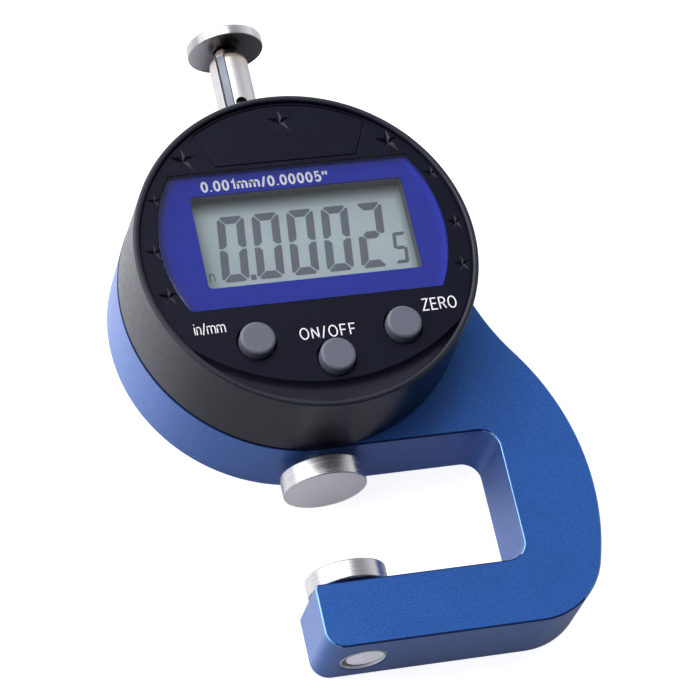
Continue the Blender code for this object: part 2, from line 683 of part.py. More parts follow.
def make_anvil_fastening():
    """Socket screw that holds the lower anvil from below, and the clear plug over its head."""
    head_low = ARM_BOTTOM_Y + PLUG_INSET + PLUG_T + CLEAR
    head_high = head_low + ANVIL_SCREW_HEAD_T
    tip = LOWER_ANVIL_FACE_Y - LOWER_ANVIL_T + ANVIL_SCREW_BITE
    profile = [
        (0.0, head_low),
        (ANVIL_SCREW_HEAD_R, head_low),
        (ANVIL_SCREW_HEAD_R, head_high),
        (ANVIL_SCREW_R, head_high),
        (ANVIL_SCREW_R, tip),
        (0.0, tip),
    ]
    bolt = add_object("anvil_screw", turned(profile, ROUND), "screw_steel", SPINDLE_AXIS, ALONG_Y)
    socket = cylinder(HEX_R, head_low - HEX_DEPTH, head_low + HEX_DEPTH, 6)
    cut(bolt, "hex_socket_cut", socket, SPINDLE_AXIS, ALONG_Y)
    face = ARM_BOTTOM_Y + PLUG_INSET
    crown_r = (PLUG_R ** 2 + PLUG_CROWN ** 2) / (2 * PLUG_CROWN)
    edge_angle = math.degrees(math.asin(PLUG_R / crown_r))
    dome = arc((0.0, face - PLUG_CROWN + crown_r), crown_r, -90, -90 + edge_angle, 5)
    profile = [(max(radius, 0.0), height) for radius, height in dome]
    profile[0] = (0.0, face - PLUG_CROWN)
    profile += [(PLUG_R, face + PLUG_T), (0.0, face + PLUG_T)]
    add_object("anvil_plug", turned(profile, ROUND), "clear_plug", SPINDLE_AXIS, ALONG_Y)


def make_carriage():
    """Block clamped on the spindle below the sleeve, guided by a rod, with a grub screw."""
    block = box(
        (CARRIAGE_LEFT_X, CARRIAGE_RIGHT_X),
        (CARRIAGE_LOW_Y, CARRIAGE_TOP_Y),
        (CARRIAGE_BACK_Z, CARRIAGE_TOP_Z),
    )
    carriage = add_object("carriage", block, "carriage_alloy")
    past = CARRIAGE_LENGTH
    low, high = CARRIAGE_LOW_Y - past, CARRIAGE_TOP_Y + past
    cut(carriage, "spindle_hole_cut", cylinder(SPINDLE_R + CLEAR, low, high, ROUND), SPINDLE_AXIS, ALONG_Y)
    rod_place = (GUIDE_ROD_X, 0.0, GUIDE_ROD_Z)
    cut(carriage, "guide_hole_cut", cylinder(GUIDE_ROD_R + CLEAR, low, high, SMALL), rod_place, ALONG_Y)
    middle = (CARRIAGE_LOW_Y + CARRIAGE_TOP_Y) / 2
    hole = cylinder(GRUB_R + CLEAR, SPINDLE_Z, CARRIAGE_TOP_Z + past, SMALL)
    cut(carriage, "grub_hole_cut", hole, (0.0, middle, 0.0))
    grub_z = SPINDLE_Z + SPINDLE_R + CLEAR
    grub = add_object(
        "carriage_screw", cylinder(GRUB_R, grub_z, grub_z + GRUB_T, SMALL), "screw_steel", (0.0, middle, 0.0)
    )
    grub_top = grub_z + GRUB_T
    socket = cylinder(GRUB_HEX_R, grub_top - GRUB_HEX_DEPTH, grub_top + GRUB_T, 6)
    cut(grub, "grub_socket_cut", socket, (0.0, middle, 0.0))


def make_scale_and_guide():
    """Linear scale on the carriage, and the fixed guide rod that stops it turning."""
    strip = box(
        (CARRIAGE_LEFT_X, CARRIAGE_LEFT_X + SCALE_WIDTH),
        (CARRIAGE_TOP_Y - SCALE_LENGTH, CARRIAGE_TOP_Y),
        (SCALE_TOP_Z - SCALE_T, SCALE_TOP_Z),
    )
    add_object("scale_strip", strip, "scale_green")
    rod = cylinder(GUIDE_ROD_R, -guide_reach(), guide_reach(), SMALL)
    add_object("guide_rod", rod, "spindle_steel", (GUIDE_ROD_X, 0.0, GUIDE_ROD_Z), ALONG_Y)


def make_return_spring():
    """Extension spring from the carriage to a pin in the pocket's lower wall."""
    low, high = spring_pin_span()
    place = (SPRING_X, 0.0, SPINDLE_Z)
    add_object("spring_pin", cylinder(SPRING_PIN_R, low, high, SMALL), "screw_steel", place, ALONG_Y)
    top = CARRIAGE_LOW_Y - CLEAR - SPRING_WIRE_R
    bottom = spring_foot()
    steps_per_turn = 10
    count = SPRING_TURNS * steps_per_turn
    curve = bpy.data.curves.new("return_spring", "CURVE")
    curve.dimensions = "3D"
    curve.bevel_depth = SPRING_WIRE_R
    curve.bevel_resolution = 0
    curve.use_fill_caps = True
    spline = curve.splines.new("POLY")
    spline.points.add(count)
    for step in range(count + 1):
        angle = math.tau * step / steps_per_turn
        height = bottom + (top - bottom) * step / count
        across = SPRING_COIL_R * math.cos(angle)
        out = SPRING_COIL_R * math.sin(angle)
        spline.points[step].co = (across, height, out, 1.0)
    curve.materials.append(MATERIALS["spring_steel"])
    spring = bpy.data.objects.new("return_spring", curve)
    spring.location = place
    spring.parent = ORIGIN
    bpy.context.scene.collection.objects.link(spring)


def housing_profile():
    """Section of the housing: an open cup with a raised rim around its face."""
    top_r = HOUSING_TOP_R
    rim_in = top_r - RIM_WIDTH
    return [
        (0.0, FACE_BACK_Z),
        (HOUSING_INNER_R, FACE_BACK_Z),
        (HOUSING_INNER_R, HOUSING_Z),
        (HOUSING_BASE_R, HOUSING_Z),
        (top_r, HEAD_TOP_Z - RIM_ROUND),
        (top_r - RIM_ROUND * CORNER_CUT, HEAD_TOP_Z - RIM_ROUND * CORNER_CUT),
        (top_r - RIM_ROUND, HEAD_TOP_Z),
        (rim_in + RIM_ROUND, HEAD_TOP_Z),
        (rim_in, HEAD_TOP_Z - RIM_ROUND),
        (rim_in - RIM_GROOVE_WIDTH / 3, FACE_Z - RIM_GROOVE_DEPTH),
        (FACE_R, FACE_Z),
        (0.0, FACE_Z),
    ]


def panel_outline(offset):
    """Display panel: flat top and bottom, round sides, grown by an offset."""
    radius = PANEL_ARC_R + offset
    top = PANEL_TOP_Y + offset
    bottom = PANEL_BOTTOM_Y - offset
    high = math.degrees(math.asin((top - PANEL_ARC_Y) / radius))
    low = math.degrees(math.asin((bottom - PANEL_ARC_Y) / radius))
    centre = (0.0, PANEL_ARC_Y)
    return arc(centre, radius, low, high, 14) + arc(centre, radius, 180 - high, 180 - low, 14)


def door_outline(offset):
    """Battery door: straight lower edge, sloping sides and an arc along the rim."""
    radius = DOOR_ARC_R + offset
    top_half = DOOR_TOP_HALF + offset
    start = math.degrees(math.acos(top_half / radius))
    points = arc((0.0, 0.0), radius, start, 180 - start, 16)
    low = DOOR_BOTTOM_Y - offset
    return points + [(-DOOR_BOTTOM_HALF - offset, low), (DOOR_BOTTOM_HALF + offset, low)]


def scoop_cutter():
    """Crescent that falls away from the face to the rim below the buttons."""
    inside_rim = FACE_R + RIM_GROOVE_WIDTH / 5
    slope = SCOOP_WIDTH / SCOOP_DEPTH
    low = FACE_Z - SCOOP_DEPTH * 2
    high = FACE_Z + RIM_HEIGHT * 2
    blank = add_object("scoop_cut", cylinder(inside_rim, low, high, FINE), None)
    blank.display_type = "WIRE"
    blank.hide_render = True
    low_r = SCOOP_R + (FACE_Z - low + SCOOP_DEPTH) * slope
    high_r = SCOOP_R - (high - FACE_Z) * slope
    core = [
        (0.0, low - SCOOP_DEPTH),
        (low_r, low - SCOOP_DEPTH),
        (high_r, high),
        (high_r, high + SCOOP_DEPTH),
        (0.0, high + SCOOP_DEPTH),
    ]
    cut(blank, "scoop_core", turned(core, FINE), (0.0, SCOOP_CENTRE_Y, 0.0))
    return blank


def make_housing():
    """Black housing with its rim, screw bosses, window, button holes and battery bay."""
    housing = add_object("housing", turned(housing_profile(), FINE), "black_housing")
    scoop = housing.modifiers.new("scoop_cut", "BOOLEAN")
    scoop.operation = "DIFFERENCE"
    scoop.solver = "EXACT"
    scoop.object = scoop_cutter()
    window = (WINDOW_X, WINDOW_Y)
    skirt_wide = WINDOW_WIDTH + 2 * WINDOW_SKIRT_WALL
    skirt_tall = WINDOW_HEIGHT + 2 * WINDOW_SKIRT_WALL
    skirt = rounded_rectangle(window, skirt_wide, skirt_tall, WINDOW_CORNER_R)
    join(housing, "window_skirt", prism(skirt, LCD_TOP_Z + CLEAR, FACE_BACK_Z + CLEAR))
    for angle in HOUSING_SCREW_ANGLES:
        boss = cylinder(BOSS_R, HOUSING_Z, FACE_BACK_Z + CLEAR, SMALL)
        join(housing, f"boss_{angle:.0f}", boss, (*on_ring(angle), 0.0))
    for angle in HOUSING_SCREW_ANGLES:
        hole = cylinder(SCREW_R + CLEAR, HOUSING_Z - CLEAR, HOUSING_Z + BOSS_HOLE_DEPTH, SMALL)
        cut(housing, f"boss_hole_{angle:.0f}", hole, (*on_ring(angle), 0.0))
    above = HEAD_TOP_Z + RIM_HEIGHT
    cut(housing, "panel_recess", prism(panel_outline(CLEAR), PANEL_SEAT_Z, above))
    opening = rounded_rectangle(window, WINDOW_WIDTH, WINDOW_HEIGHT, WINDOW_CORNER_R)
    cut(housing, "window_cut", prism(opening, LCD_Z, above))
    for name, angle in BUTTON_ANGLES.items():
        hole = cylinder(BUTTON_R + CLEAR, FACE_BACK_Z - CLEAR, above, ROUND)
        cut(housing, f"{name}_hole", hole, (*on_ring(angle, BUTTON_RING_R), 0.0))
    cut(housing, "door_recess", prism(door_outline(CLEAR), DOOR_Z - CLEAR, above))
    bay = box(
        (-BAY_HALF, BAY_HALF),
        (DOOR_BOTTOM_Y + BAY_LEDGE, DOOR_ARC_R - 2 * BAY_LEDGE),
        (FACE_BACK_Z - CLEAR, DOOR_Z),
    )
    cut(housing, "battery_bay", bay)
    return housing


def make_panel():
    """Clear panel flush with the face, and the blue mask with the window below it."""
    add_object("face_plate", prism(panel_outline(0.0), PANEL_Z, FACE_Z), "panel_clear")
    mask = add_object("face_mask", prism(panel_outline(0.0), MASK_Z, MASK_Z + MASK_T), "panel_blue")
    opening = rounded_rectangle(
        (WINDOW_X, WINDOW_Y), WINDOW_WIDTH, WINDOW_HEIGHT, WINDOW_CORNER_R
    )
    cut(mask, "mask_window", prism(opening, PANEL_SEAT_Z, FACE_Z))


def make_display():
    """Display glass, the holder it stands on and its rubber contact strip."""
    width = WINDOW_WIDTH + 2 * LCD_MARGIN
    height = WINDOW_HEIGHT + 2 * LCD_MARGIN
    right, left = WINDOW_X + width / 2, WINDOW_X - width / 2
    top, bottom = WINDOW_Y + height / 2, WINDOW_Y - height / 2
    add_object("lcd_glass", box((left, right), (bottom, top), (LCD_Z, LCD_TOP_Z)), "lcd")
    holder_top = LCD_Z - CLEAR
    stand = box((left, right), (bottom, top), (ON_BOARD_Z, holder_top))
    holder = add_object("lcd_holder", stand, "holder_grey")
    inner = box(
        (left + HOLDER_WALL, right - HOLDER_WALL),
        (bottom + HOLDER_WALL, top - HOLDER_WALL),
        (ON_BOARD_Z - CLEAR, holder_top + CLEAR),
    )
    cut(holder, "holder_opening", inner)
    strip_low = bottom + HOLDER_WALL + CLEAR
    strip = box(
        (left + HOLDER_WALL + CLEAR, right - HOLDER_WALL - CLEAR),
        (strip_low, strip_low + STRIP_WIDTH),
        (ON_BOARD_Z, holder_top),
    )
    add_object("contact_strip", strip, "strip_rubber")


def make_boards():
    """Sensor board in the frame's front seat, main board in the housing, and their link."""
    board = cylinder(BOARD_SEAT_R - CLEAR, SENSOR_BOARD_Z, SENSOR_BOARD_Z + SENSOR_BOARD_T, FINE)
    add_object("sensor_board", board, "board_green")
    chip_z = SENSOR_BOARD_Z + SENSOR_BOARD_T + CLEAR
    chip = box(
        (CHIP_X - CHIP_WIDTH / 2, CHIP_X + CHIP_WIDTH / 2),
        (-CHIP_LENGTH / 2, CHIP_LENGTH / 2),
        (chip_z, chip_z + CHIP_T),
    )
    add_object("encoder_chip", chip, "chip_black")
    link_y = LINK_FROM_SEAT - BOARD_SEAT_R
    link = box(
        (-LINK_WIDTH / 2, LINK_WIDTH / 2),
        (link_y - LINK_THICKNESS / 2, link_y + LINK_THICKNESS / 2),
        (chip_z, MAIN_BOARD_Z - CLEAR),
    )
    add_object("board_link", link, "chip_black")
    main_r = HOUSING_INNER_R - MAIN_BOARD_MARGIN
    main = add_object(
        "main_board", cylinder(main_r, MAIN_BOARD_Z, MAIN_BOARD_TOP_Z, FINE), "board_green"
    )
    for angle in HOUSING_SCREW_ANGLES:
        notch = cylinder(BOSS_R + CLEAR, MAIN_BOARD_Z - CLEAR, ON_BOARD_Z, SMALL)
        cut(main, f"boss_notch_{angle:.0f}", notch, (*on_ring(angle), 0.0))


def make_buttons():
    """Three push buttons, each over its own switch on the main board."""
    top = FACE_Z + BUTTON_RISE
    flange_top = FACE_BACK_Z - CLEAR
    flange_low = flange_top - BUTTON_FLANGE_T
    profile = [
        (0.0, BUTTON_FOOT_Z),
        (BUTTON_STEM_R, BUTTON_FOOT_Z),
        (BUTTON_STEM_R, flange_low),
        (BUTTON_FLANGE_R, flange_low),
        (BUTTON_FLANGE_R, flange_top),
        (BUTTON_R, flange_top),
        (BUTTON_R, top - BUTTON_EDGE),
        (BUTTON_R - BUTTON_EDGE * CORNER_CUT, top - BUTTON_EDGE * CORNER_CUT),
        (BUTTON_R - BUTTON_EDGE, top),
        (0.0, top),
    ]
    half = SWITCH_WIDTH / 2
    for name, angle in BUTTON_ANGLES.items():
        place = (*on_ring(angle, BUTTON_RING_R), 0.0)
        add_object(name, turned(profile, ROUND), "button_grey", place)
        body = box((-half, half), (-half, half), (ON_BOARD_Z, SWITCH_TOP_Z))
        add_object(name.replace("button", "switch"), body, "nickel", place)


def make_battery():
    """Button cell with its lower contact and side clip, under a lift-off door."""
    place = (0.0, BATTERY_Y, 0.0)
    rim = BATTERY_R - BATTERY_STEP
    high = BATTERY_Z + BATTERY_T
    profile = [
        (0.0, BATTERY_Z),
        (rim, BATTERY_Z),
        (BATTERY_R, BATTERY_Z + BATTERY_STEP),
        (BATTERY_R, high),
        (0.0, high),
    ]
    add_object("battery_cell", turned(profile, ROUND), "nickel", place)
    plate = cylinder(CONTACT_R, ON_BOARD_Z, ON_BOARD_Z + CONTACT_T, SMALL)
    add_object("battery_contact", plate, "brass", place)
    clip_x = -(BATTERY_R + CLEAR)
    clip = box((clip_x - CONTACT_T, clip_x), (-CLIP_WIDTH / 2, CLIP_WIDTH / 2), (ON_BOARD_Z, high))
    add_object("battery_clip", clip, "brass", place)
    add_object("battery_door", prism(door_outline(0.0), DOOR_Z, FACE_Z), "black_housing")


for old in list(bpy.data.objects):
    bpy.data.objects.remove(old, do_unlink=True)

MATERIALS = make_materials()
ORIGIN = bpy.data.objects.new("gauge_origin", None)
ORIGIN.location = (-CENTRE_X, -CENTRE_Y, 0.0)
bpy.context.scene.collection.objects.link(ORIGIN)

make_frame()
make_back_cover()
make_screws()
make_bushes()
make_spindle()
make_lift_sleeve()
make_cap_and_anvils()
make_anvil_fastening()
make_carriage()
make_scale_and_guide()
make_return_spring()
make_housing()
make_panel()
make_display()
make_boards()
make_buttons()
make_battery()
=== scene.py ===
"""Looks of the digital thickness gauge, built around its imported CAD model.

Metres, +Z out of the display, +Y towards the lifting cap, +X towards the frame's spine.
Shapes are made about the centre of the head and then moved to where the CAD model has it.
"""
import math

import bmesh
import bpy
from mathutils import Matrix, Vector


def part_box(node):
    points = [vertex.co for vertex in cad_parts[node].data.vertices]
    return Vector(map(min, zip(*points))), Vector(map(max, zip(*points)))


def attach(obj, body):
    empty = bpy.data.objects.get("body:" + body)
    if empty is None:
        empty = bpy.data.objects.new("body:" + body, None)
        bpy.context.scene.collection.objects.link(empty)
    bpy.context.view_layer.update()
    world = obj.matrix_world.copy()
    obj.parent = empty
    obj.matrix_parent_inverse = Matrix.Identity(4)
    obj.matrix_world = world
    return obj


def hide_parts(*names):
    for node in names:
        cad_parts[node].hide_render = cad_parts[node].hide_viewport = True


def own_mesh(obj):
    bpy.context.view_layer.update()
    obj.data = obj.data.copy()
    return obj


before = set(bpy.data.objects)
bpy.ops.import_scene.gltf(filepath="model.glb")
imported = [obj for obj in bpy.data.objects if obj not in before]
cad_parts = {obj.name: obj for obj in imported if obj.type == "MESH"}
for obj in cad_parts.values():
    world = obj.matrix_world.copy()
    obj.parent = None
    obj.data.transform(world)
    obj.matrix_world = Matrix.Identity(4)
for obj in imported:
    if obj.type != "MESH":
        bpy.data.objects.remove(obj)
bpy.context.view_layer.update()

# Places that come from the CAD model
housing_low, housing_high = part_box("housing")
cap_low, cap_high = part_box("lift_cap")
HEAD_X = (housing_low.x + housing_high.x) / 2
HEAD_Y = (housing_low.y + housing_high.y) / 2
HOUSING_Z = housing_low.z
HEAD_TOP_Z = housing_high.z
SPINDLE_Z = (cap_low.z + cap_high.z) / 2
FACE_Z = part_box("face_plate")[1].z
FRAME_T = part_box("frame")[1].z
LCD_TOP_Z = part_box("lcd_glass")[1].z
MASK_LOW_Z, MASK_TOP_Z = (corner.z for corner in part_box("face_mask"))
CLEAR = 0.0003

UPRIGHT_TO_Y = Matrix.Rotation(-math.pi / 2, 4, "X")
FACE_PLACE = Matrix.Translation((HEAD_X, HEAD_Y, 0.0))
SPINDLE_PLACE = Matrix.Translation((HEAD_X, HEAD_Y, SPINDLE_Z)) @ UPRIGHT_TO_Y
NO_COLOUR = (0.0, 0.0, 0.0)

# Frame, as in the CAD source
DISC_R = 0.0299
THROAT_TOP_Y = -0.0297
THROAT_DEPTH = 0.0300
THROAT_FILLET = 0.0033
ARM_TOP_Y = -0.05365
ARM_BOTTOM_Y = -0.0651
ARM_END_X = -0.00725
ARM_TOP_CORNER_R = 0.0008
ARM_HEEL_CORNER_R = 0.0032
SPINE_R = 0.04525
SPINE_CENTRE = (-0.0005, -0.041675)
SHOULDER_BLEND_R = 0.0400
HEEL_R = 0.0131
FRAME_EDGE = 0.00028
POCKET_R = 0.0205
COVER_SEAT_R = 0.0255
COVER_SEAT_DEPTH = 0.0020
BOARD_SEAT_R = 0.0218
BOARD_SEAT_DEPTH = 0.0014
SCREW_RING_R = 0.0230
COVER_SCREW_ANGLES = (45, 135, 225, 315)
SCREW_HEAD_R = 0.0016

# Display head: sizes
HOUSING_BASE_R = 0.02982
HOUSING_TOP_R = 0.0294
HOUSING_INNER_R = 0.0276
RIM_WIDTH = 0.0009
RIM_FOOT = 0.00030
FACE_R = 0.02812
FACE_BACK_Z = FACE_Z - 0.0029
SCOOP_R = 0.0356
SCOOP_CENTRE_Y = 0.0110
SCOOP_DEPTH = 0.0010
PANEL_ARC_R = 0.0248
PANEL_ARC_Y = 0.0025
PANEL_TOP_Y = 0.0161
PANEL_BOTTOM_Y = -0.0094
WINDOW_CENTRE = (0.0008, 0.00355)
WINDOW_SIZE = (0.0372, 0.0175)
WINDOW_CORNER_R = 0.0007
SEAM = 0.00008
DOOR_ARC_R = 0.02775
DOOR_TOP_HALF = 0.0150
DOOR_BOTTOM_HALF = 0.0123
DOOR_BOTTOM_Y = 0.0171
DOOR_T = 0.0014
BUTTON_R = 0.0030
BUTTON_GAP = 0.00035
BUTTON_RISE = 0.0017
BUTTONS = {
    "button_units": ("key_units", "units_key", (0.00075, 0.00030)),
    "button_power": ("key_power", "power_key", (0.00075, 0.00030)),
    "button_zero": ("key_zero", "zero_key", (0.00035, 0.00035)),
}
STARS = (
    (-0.0177, 0.0189, 0.00245), (0.0184, 0.0189, 0.00245), (-0.0240, 0.0117, 0.00145),
    (0.0246, 0.0120, 0.00145), (-0.02580, 0.0021, 0.00172), (0.0266, 0.0022, 0.00158),
    (-0.0250, -0.0062, 0.00198), (0.0260, -0.0058, 0.00160),
)
DOOR_STAR = (0.0004, 0.0247, 0.0023)

# Spindle line, plug and slot
PLUG_SHIFT = (0.0002, -0.0012)
ANVIL_TRIM = 0.0004
PLUG_EXTRA = 0.0002
SLOT_ANGLE = -37.0
SLEEVE_SHOULDER = 0.0011
SHOULDER_DROP = 0.0013

# Steps round a large circle, a usual one, the cap and anvils, and a screw
FINE = 160
ROUND = 96
DISC_STEPS = 128
SCREW_STEPS = 48


# Mesh helpers

def radius_of(node):
    """Half the width of a round CAD node."""
    low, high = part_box(node)
    return (high.x - low.x) / 2


def ends_of(node):
    """Both ends of a CAD node along the spindle, from the centre of the head."""
    low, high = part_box(node)
    return low.y - HEAD_Y, high.y - HEAD_Y


def button_place(node, shift):
    """Centre of a button from the centre of the head, set aside as the looks ask."""
    low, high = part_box(node)
    return (low.x + high.x) / 2 - HEAD_X + shift[0], (low.y + high.y) / 2 - HEAD_Y + shift[1]


def oval(x, y, reach_x, reach_y, start=0.0, end=360.0, steps=14):
    """Points round an oval, angles in degrees, both ends included."""
    points = []
    for step in range(steps + 1):
        angle = math.radians(start + (end - start) * step / steps)
        points.append((x + reach_x * math.cos(angle), y + reach_y * math.sin(angle)))
    return points


def arc(centre, radius, start, end, steps):
    return oval(centre[0], centre[1], radius, radius, start, end, steps)


def softened(corners, steps=4, closed=False):
    """Line through corners of (x, y, rounding), with each corner rounded by its own radius."""
    points = []
    count = len(corners)
    for index, (x, y, rounding) in enumerate(corners):
        if rounding == 0.0 or (not closed and index in (0, count - 1)):
            points.append((x, y))
            continue
        here = Vector((x, y))
        before = (Vector(corners[index - 1][:2]) - here).normalized()
        after = (Vector(corners[(index + 1) % count][:2]) - here).normalized()
        half = before.angle(after) / 2
        start = here + before * (rounding / math.tan(half))
        end = here + after * (rounding / math.tan(half))
        centre = here + (before + after).normalized() * (rounding / math.sin(half))
        first = math.atan2(start.y - centre.y, start.x - centre.x)
        sweep = math.atan2(end.y - centre.y, end.x - centre.x) - first
        sweep = (sweep + math.pi) % math.tau - math.pi
        points += arc(centre, rounding, math.degrees(first), math.degrees(first + sweep), steps)
    return points


def rounded_rectangle(centre, width, height, radius, steps=6):
    """Outline of a rectangle with round corners."""
    x, y = centre
    signs = ((1, 1), (-1, 1), (-1, -1), (1, -1))
    corners = [(x + a * width / 2, y + b * height / 2, radius) for a, b in signs]
    return softened(corners, steps, closed=True)


def prism(sections):
    """Solid through flat outlines of equal length, given as (outline, height) from low to high."""
    bm = bmesh.new()
    outline, height = sections[0]
    ring = [bm.verts.new((x, y, height)) for x, y in outline]
    face = bm.faces.new(ring)
    face.normal_update()
    if face.normal.z > 0.0:
        face.normal_flip()
    base = face
    for outline, height in sections[1:]:
        made = bmesh.ops.extrude_face_region(bm, geom=[face])
        raised = {item for item in made["geom"] if isinstance(item, bmesh.types.BMVert)}
        if face is not base:
            bmesh.ops.delete(bm, geom=[face], context="FACES_ONLY")
        face = next(item for item in made["geom"] if isinstance(item, bmesh.types.BMFace))
        above = []
        for vert in ring:
            others = (edge.other_vert(vert) for edge in vert.link_edges)
            above.append(next(other for other in others if other in raised))
        for vert, (x, y) in zip(above, outline):
            vert.co = (x, y, height)
        ring = above
    bmesh.ops.recalc_face_normals(bm, faces=bm.faces)
    return bm


def slab(outline, low, high):
    """Straight solid between two heights."""
    return prism([(outline, low), (outline, high)])


def turned(profile, segments=ROUND):
    """Solid turned about Z from a profile of (radius, height) points; off the axis it is a ring."""
    bm = bmesh.new()
    verts = [bm.verts.new((radius, 0.0, height)) for radius, height in profile]
    edges = [bm.edges.new(pair) for pair in zip(verts, verts[1:])]
    if profile[0][0] > 0.0:
        edges.append(bm.edges.new((verts[-1], verts[0])))
    bmesh.ops.spin(
        bm, geom=verts + edges, cent=(0.0, 0.0, 0.0), axis=(0.0, 0.0, 1.0), angle=math.tau,
        steps=segments, use_merge=True,
    )
    bmesh.ops.remove_doubles(bm, verts=bm.verts, dist=1e-7)
    hubs = [vert for vert in bm.verts if math.hypot(vert.co.x, vert.co.y) < 1e-7]
    bmesh.ops.dissolve_verts(bm, verts=hubs)
    bmesh.ops.recalc_face_normals(bm, faces=bm.faces)
    return bm


def cylinder(radius, low, high, segments=ROUND):
    return turned([(0.0, low), (radius, low), (radius, high), (0.0, high)], segments)


def moved(bm, matrix):
    """The same shape, moved or turned."""
    bmesh.ops.transform(bm, matrix=matrix, verts=bm.verts)
    return bm


def at(x, y, z=0.0):
    return Matrix.Translation((x, y, z))


def on_ring(angle, radius=SCREW_RING_R):
    return at(radius * math.cos(math.radians(angle)), radius * math.sin(math.radians(angle)))


def loose(bm):
    """Helper object for a Boolean; it is removed when the cut is made."""
    mesh = bpy.data.meshes.new("workpiece")
    bm.to_mesh(mesh)
    bm.free()
    piece = bpy.data.objects.new("workpiece", mesh)
    bpy.context.scene.collection.objects.link(piece)
    return piece


def joined(bm, other):
    """Put another shape beside the first, in the same mesh."""
    mesh = bpy.data.meshes.new("other")
    other.to_mesh(mesh)
    other.free()
    bm.from_mesh(mesh)
    bpy.data.meshes.remove(mesh)


def carved(bm, cutters, operation="DIFFERENCE"):
    """The shape after each cutter is taken out of it, or joined to it."""
    body = loose(bm)
    tools = [loose(cutter) for cutter in cutters]
    for tool in tools:
        boolean = body.modifiers.new("cut", "BOOLEAN")
        boolean.operation = operation
        boolean.solver = "EXACT"
        boolean.object = tool
    result = bmesh.new()
    result.from_object(body, bpy.context.evaluated_depsgraph_get())
    for piece in [body, *tools]:
        mesh = piece.data
        bpy.data.objects.remove(piece)
        bpy.data.meshes.remove(mesh)
    return result


def finished(name, bm, place, materials, body, stands_for=(), sharp=35.0):
    """Make the piece: into place, smooth with crisp edges, onto its body."""
    moved(bm, place)
    bmesh.ops.remove_doubles(bm, verts=bm.verts, dist=2e-7)
    bmesh.ops.recalc_face_normals(bm, faces=bm.faces)
    mesh = bpy.data.meshes.new(name)
    bm.to_mesh(mesh)
    bm.free()
    mesh.shade_smooth()
    mesh.set_sharp_from_angle(angle=math.radians(sharp))
    for material in materials:
        mesh.materials.append(material)
    piece = bpy.data.objects.new(name, mesh)
    bpy.context.scene.collection.objects.link(piece)
    even = piece.modifiers.new("even_normals", "WEIGHTED_NORMAL")
    even.keep_sharp = True
    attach(piece, body)
    if stands_for:
        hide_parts(*stands_for)
    return piece


# Materials

def put(tree, kind, inputs=(), **settings):
    """Add a node, set its properties, and set or link its inputs."""
    node = tree.nodes.new(kind)
    for key, value in settings.items():
        setattr(node, key, value)
    for key, value in dict(inputs).items():
        if isinstance(value, bpy.types.NodeSocket):
            tree.links.new(value, node.inputs[key])
        else:
            node.inputs[key].default_value = value
    return node


def grain(tree, vector, scale, detail=2.0, roughness=0.5):
    """Noise value over the surface; the scale is in lumps per metre."""
    node = put(
        tree, "ShaderNodeTexNoise",
        {"Vector": vector, "Scale": scale, "Detail": detail, "Roughness": roughness},
    )
    return node.outputs["Fac"]


def spread(tree, value, low, high, from_low=0.3, from_high=0.7):
    """Map a noise value onto a range."""
    node = put(
        tree, "ShaderNodeMapRange",
        {"Value": value, "From Min": from_low, "From Max": from_high, "To Min": low, "To Max": high},
    )
    return node.outputs["Result"]


def blended(tree, factor, first, second):
    """Colour between two, each a colour or a socket."""
    node = put(tree, "ShaderNodeMix", {"Factor": factor}, data_type="RGBA")
    for socket, colour in ((node.inputs[6], first), (node.inputs[7], second)):
        if isinstance(colour, bpy.types.NodeSocket):
            tree.links.new(colour, socket)
        else:
            socket.default_value = (*colour, 1.0)
    return node.outputs[2]


def ramp(tree, value, stops):
    """Colour looked up along a value from (position, colour) stops."""
    node = put(tree, "ShaderNodeValToRGB", {"Fac": value})
    elements = node.color_ramp.elements
    while len(elements) < len(stops):
        elements.new(0.5)
    for element, (position, colour) in zip(elements, stops):
        element.position = position
        element.color = (*colour, 1.0)
    return node.outputs["Color"]


def maths(tree, operation, first, second):
    node = put(tree, "ShaderNodeMath", {0: first, 1: second}, operation=operation)
    return node.outputs["Value"]


def shaded(colour, amount):
    """A colour made lighter or darker."""
    return tuple(min(1.0, part * amount) for part in colour)


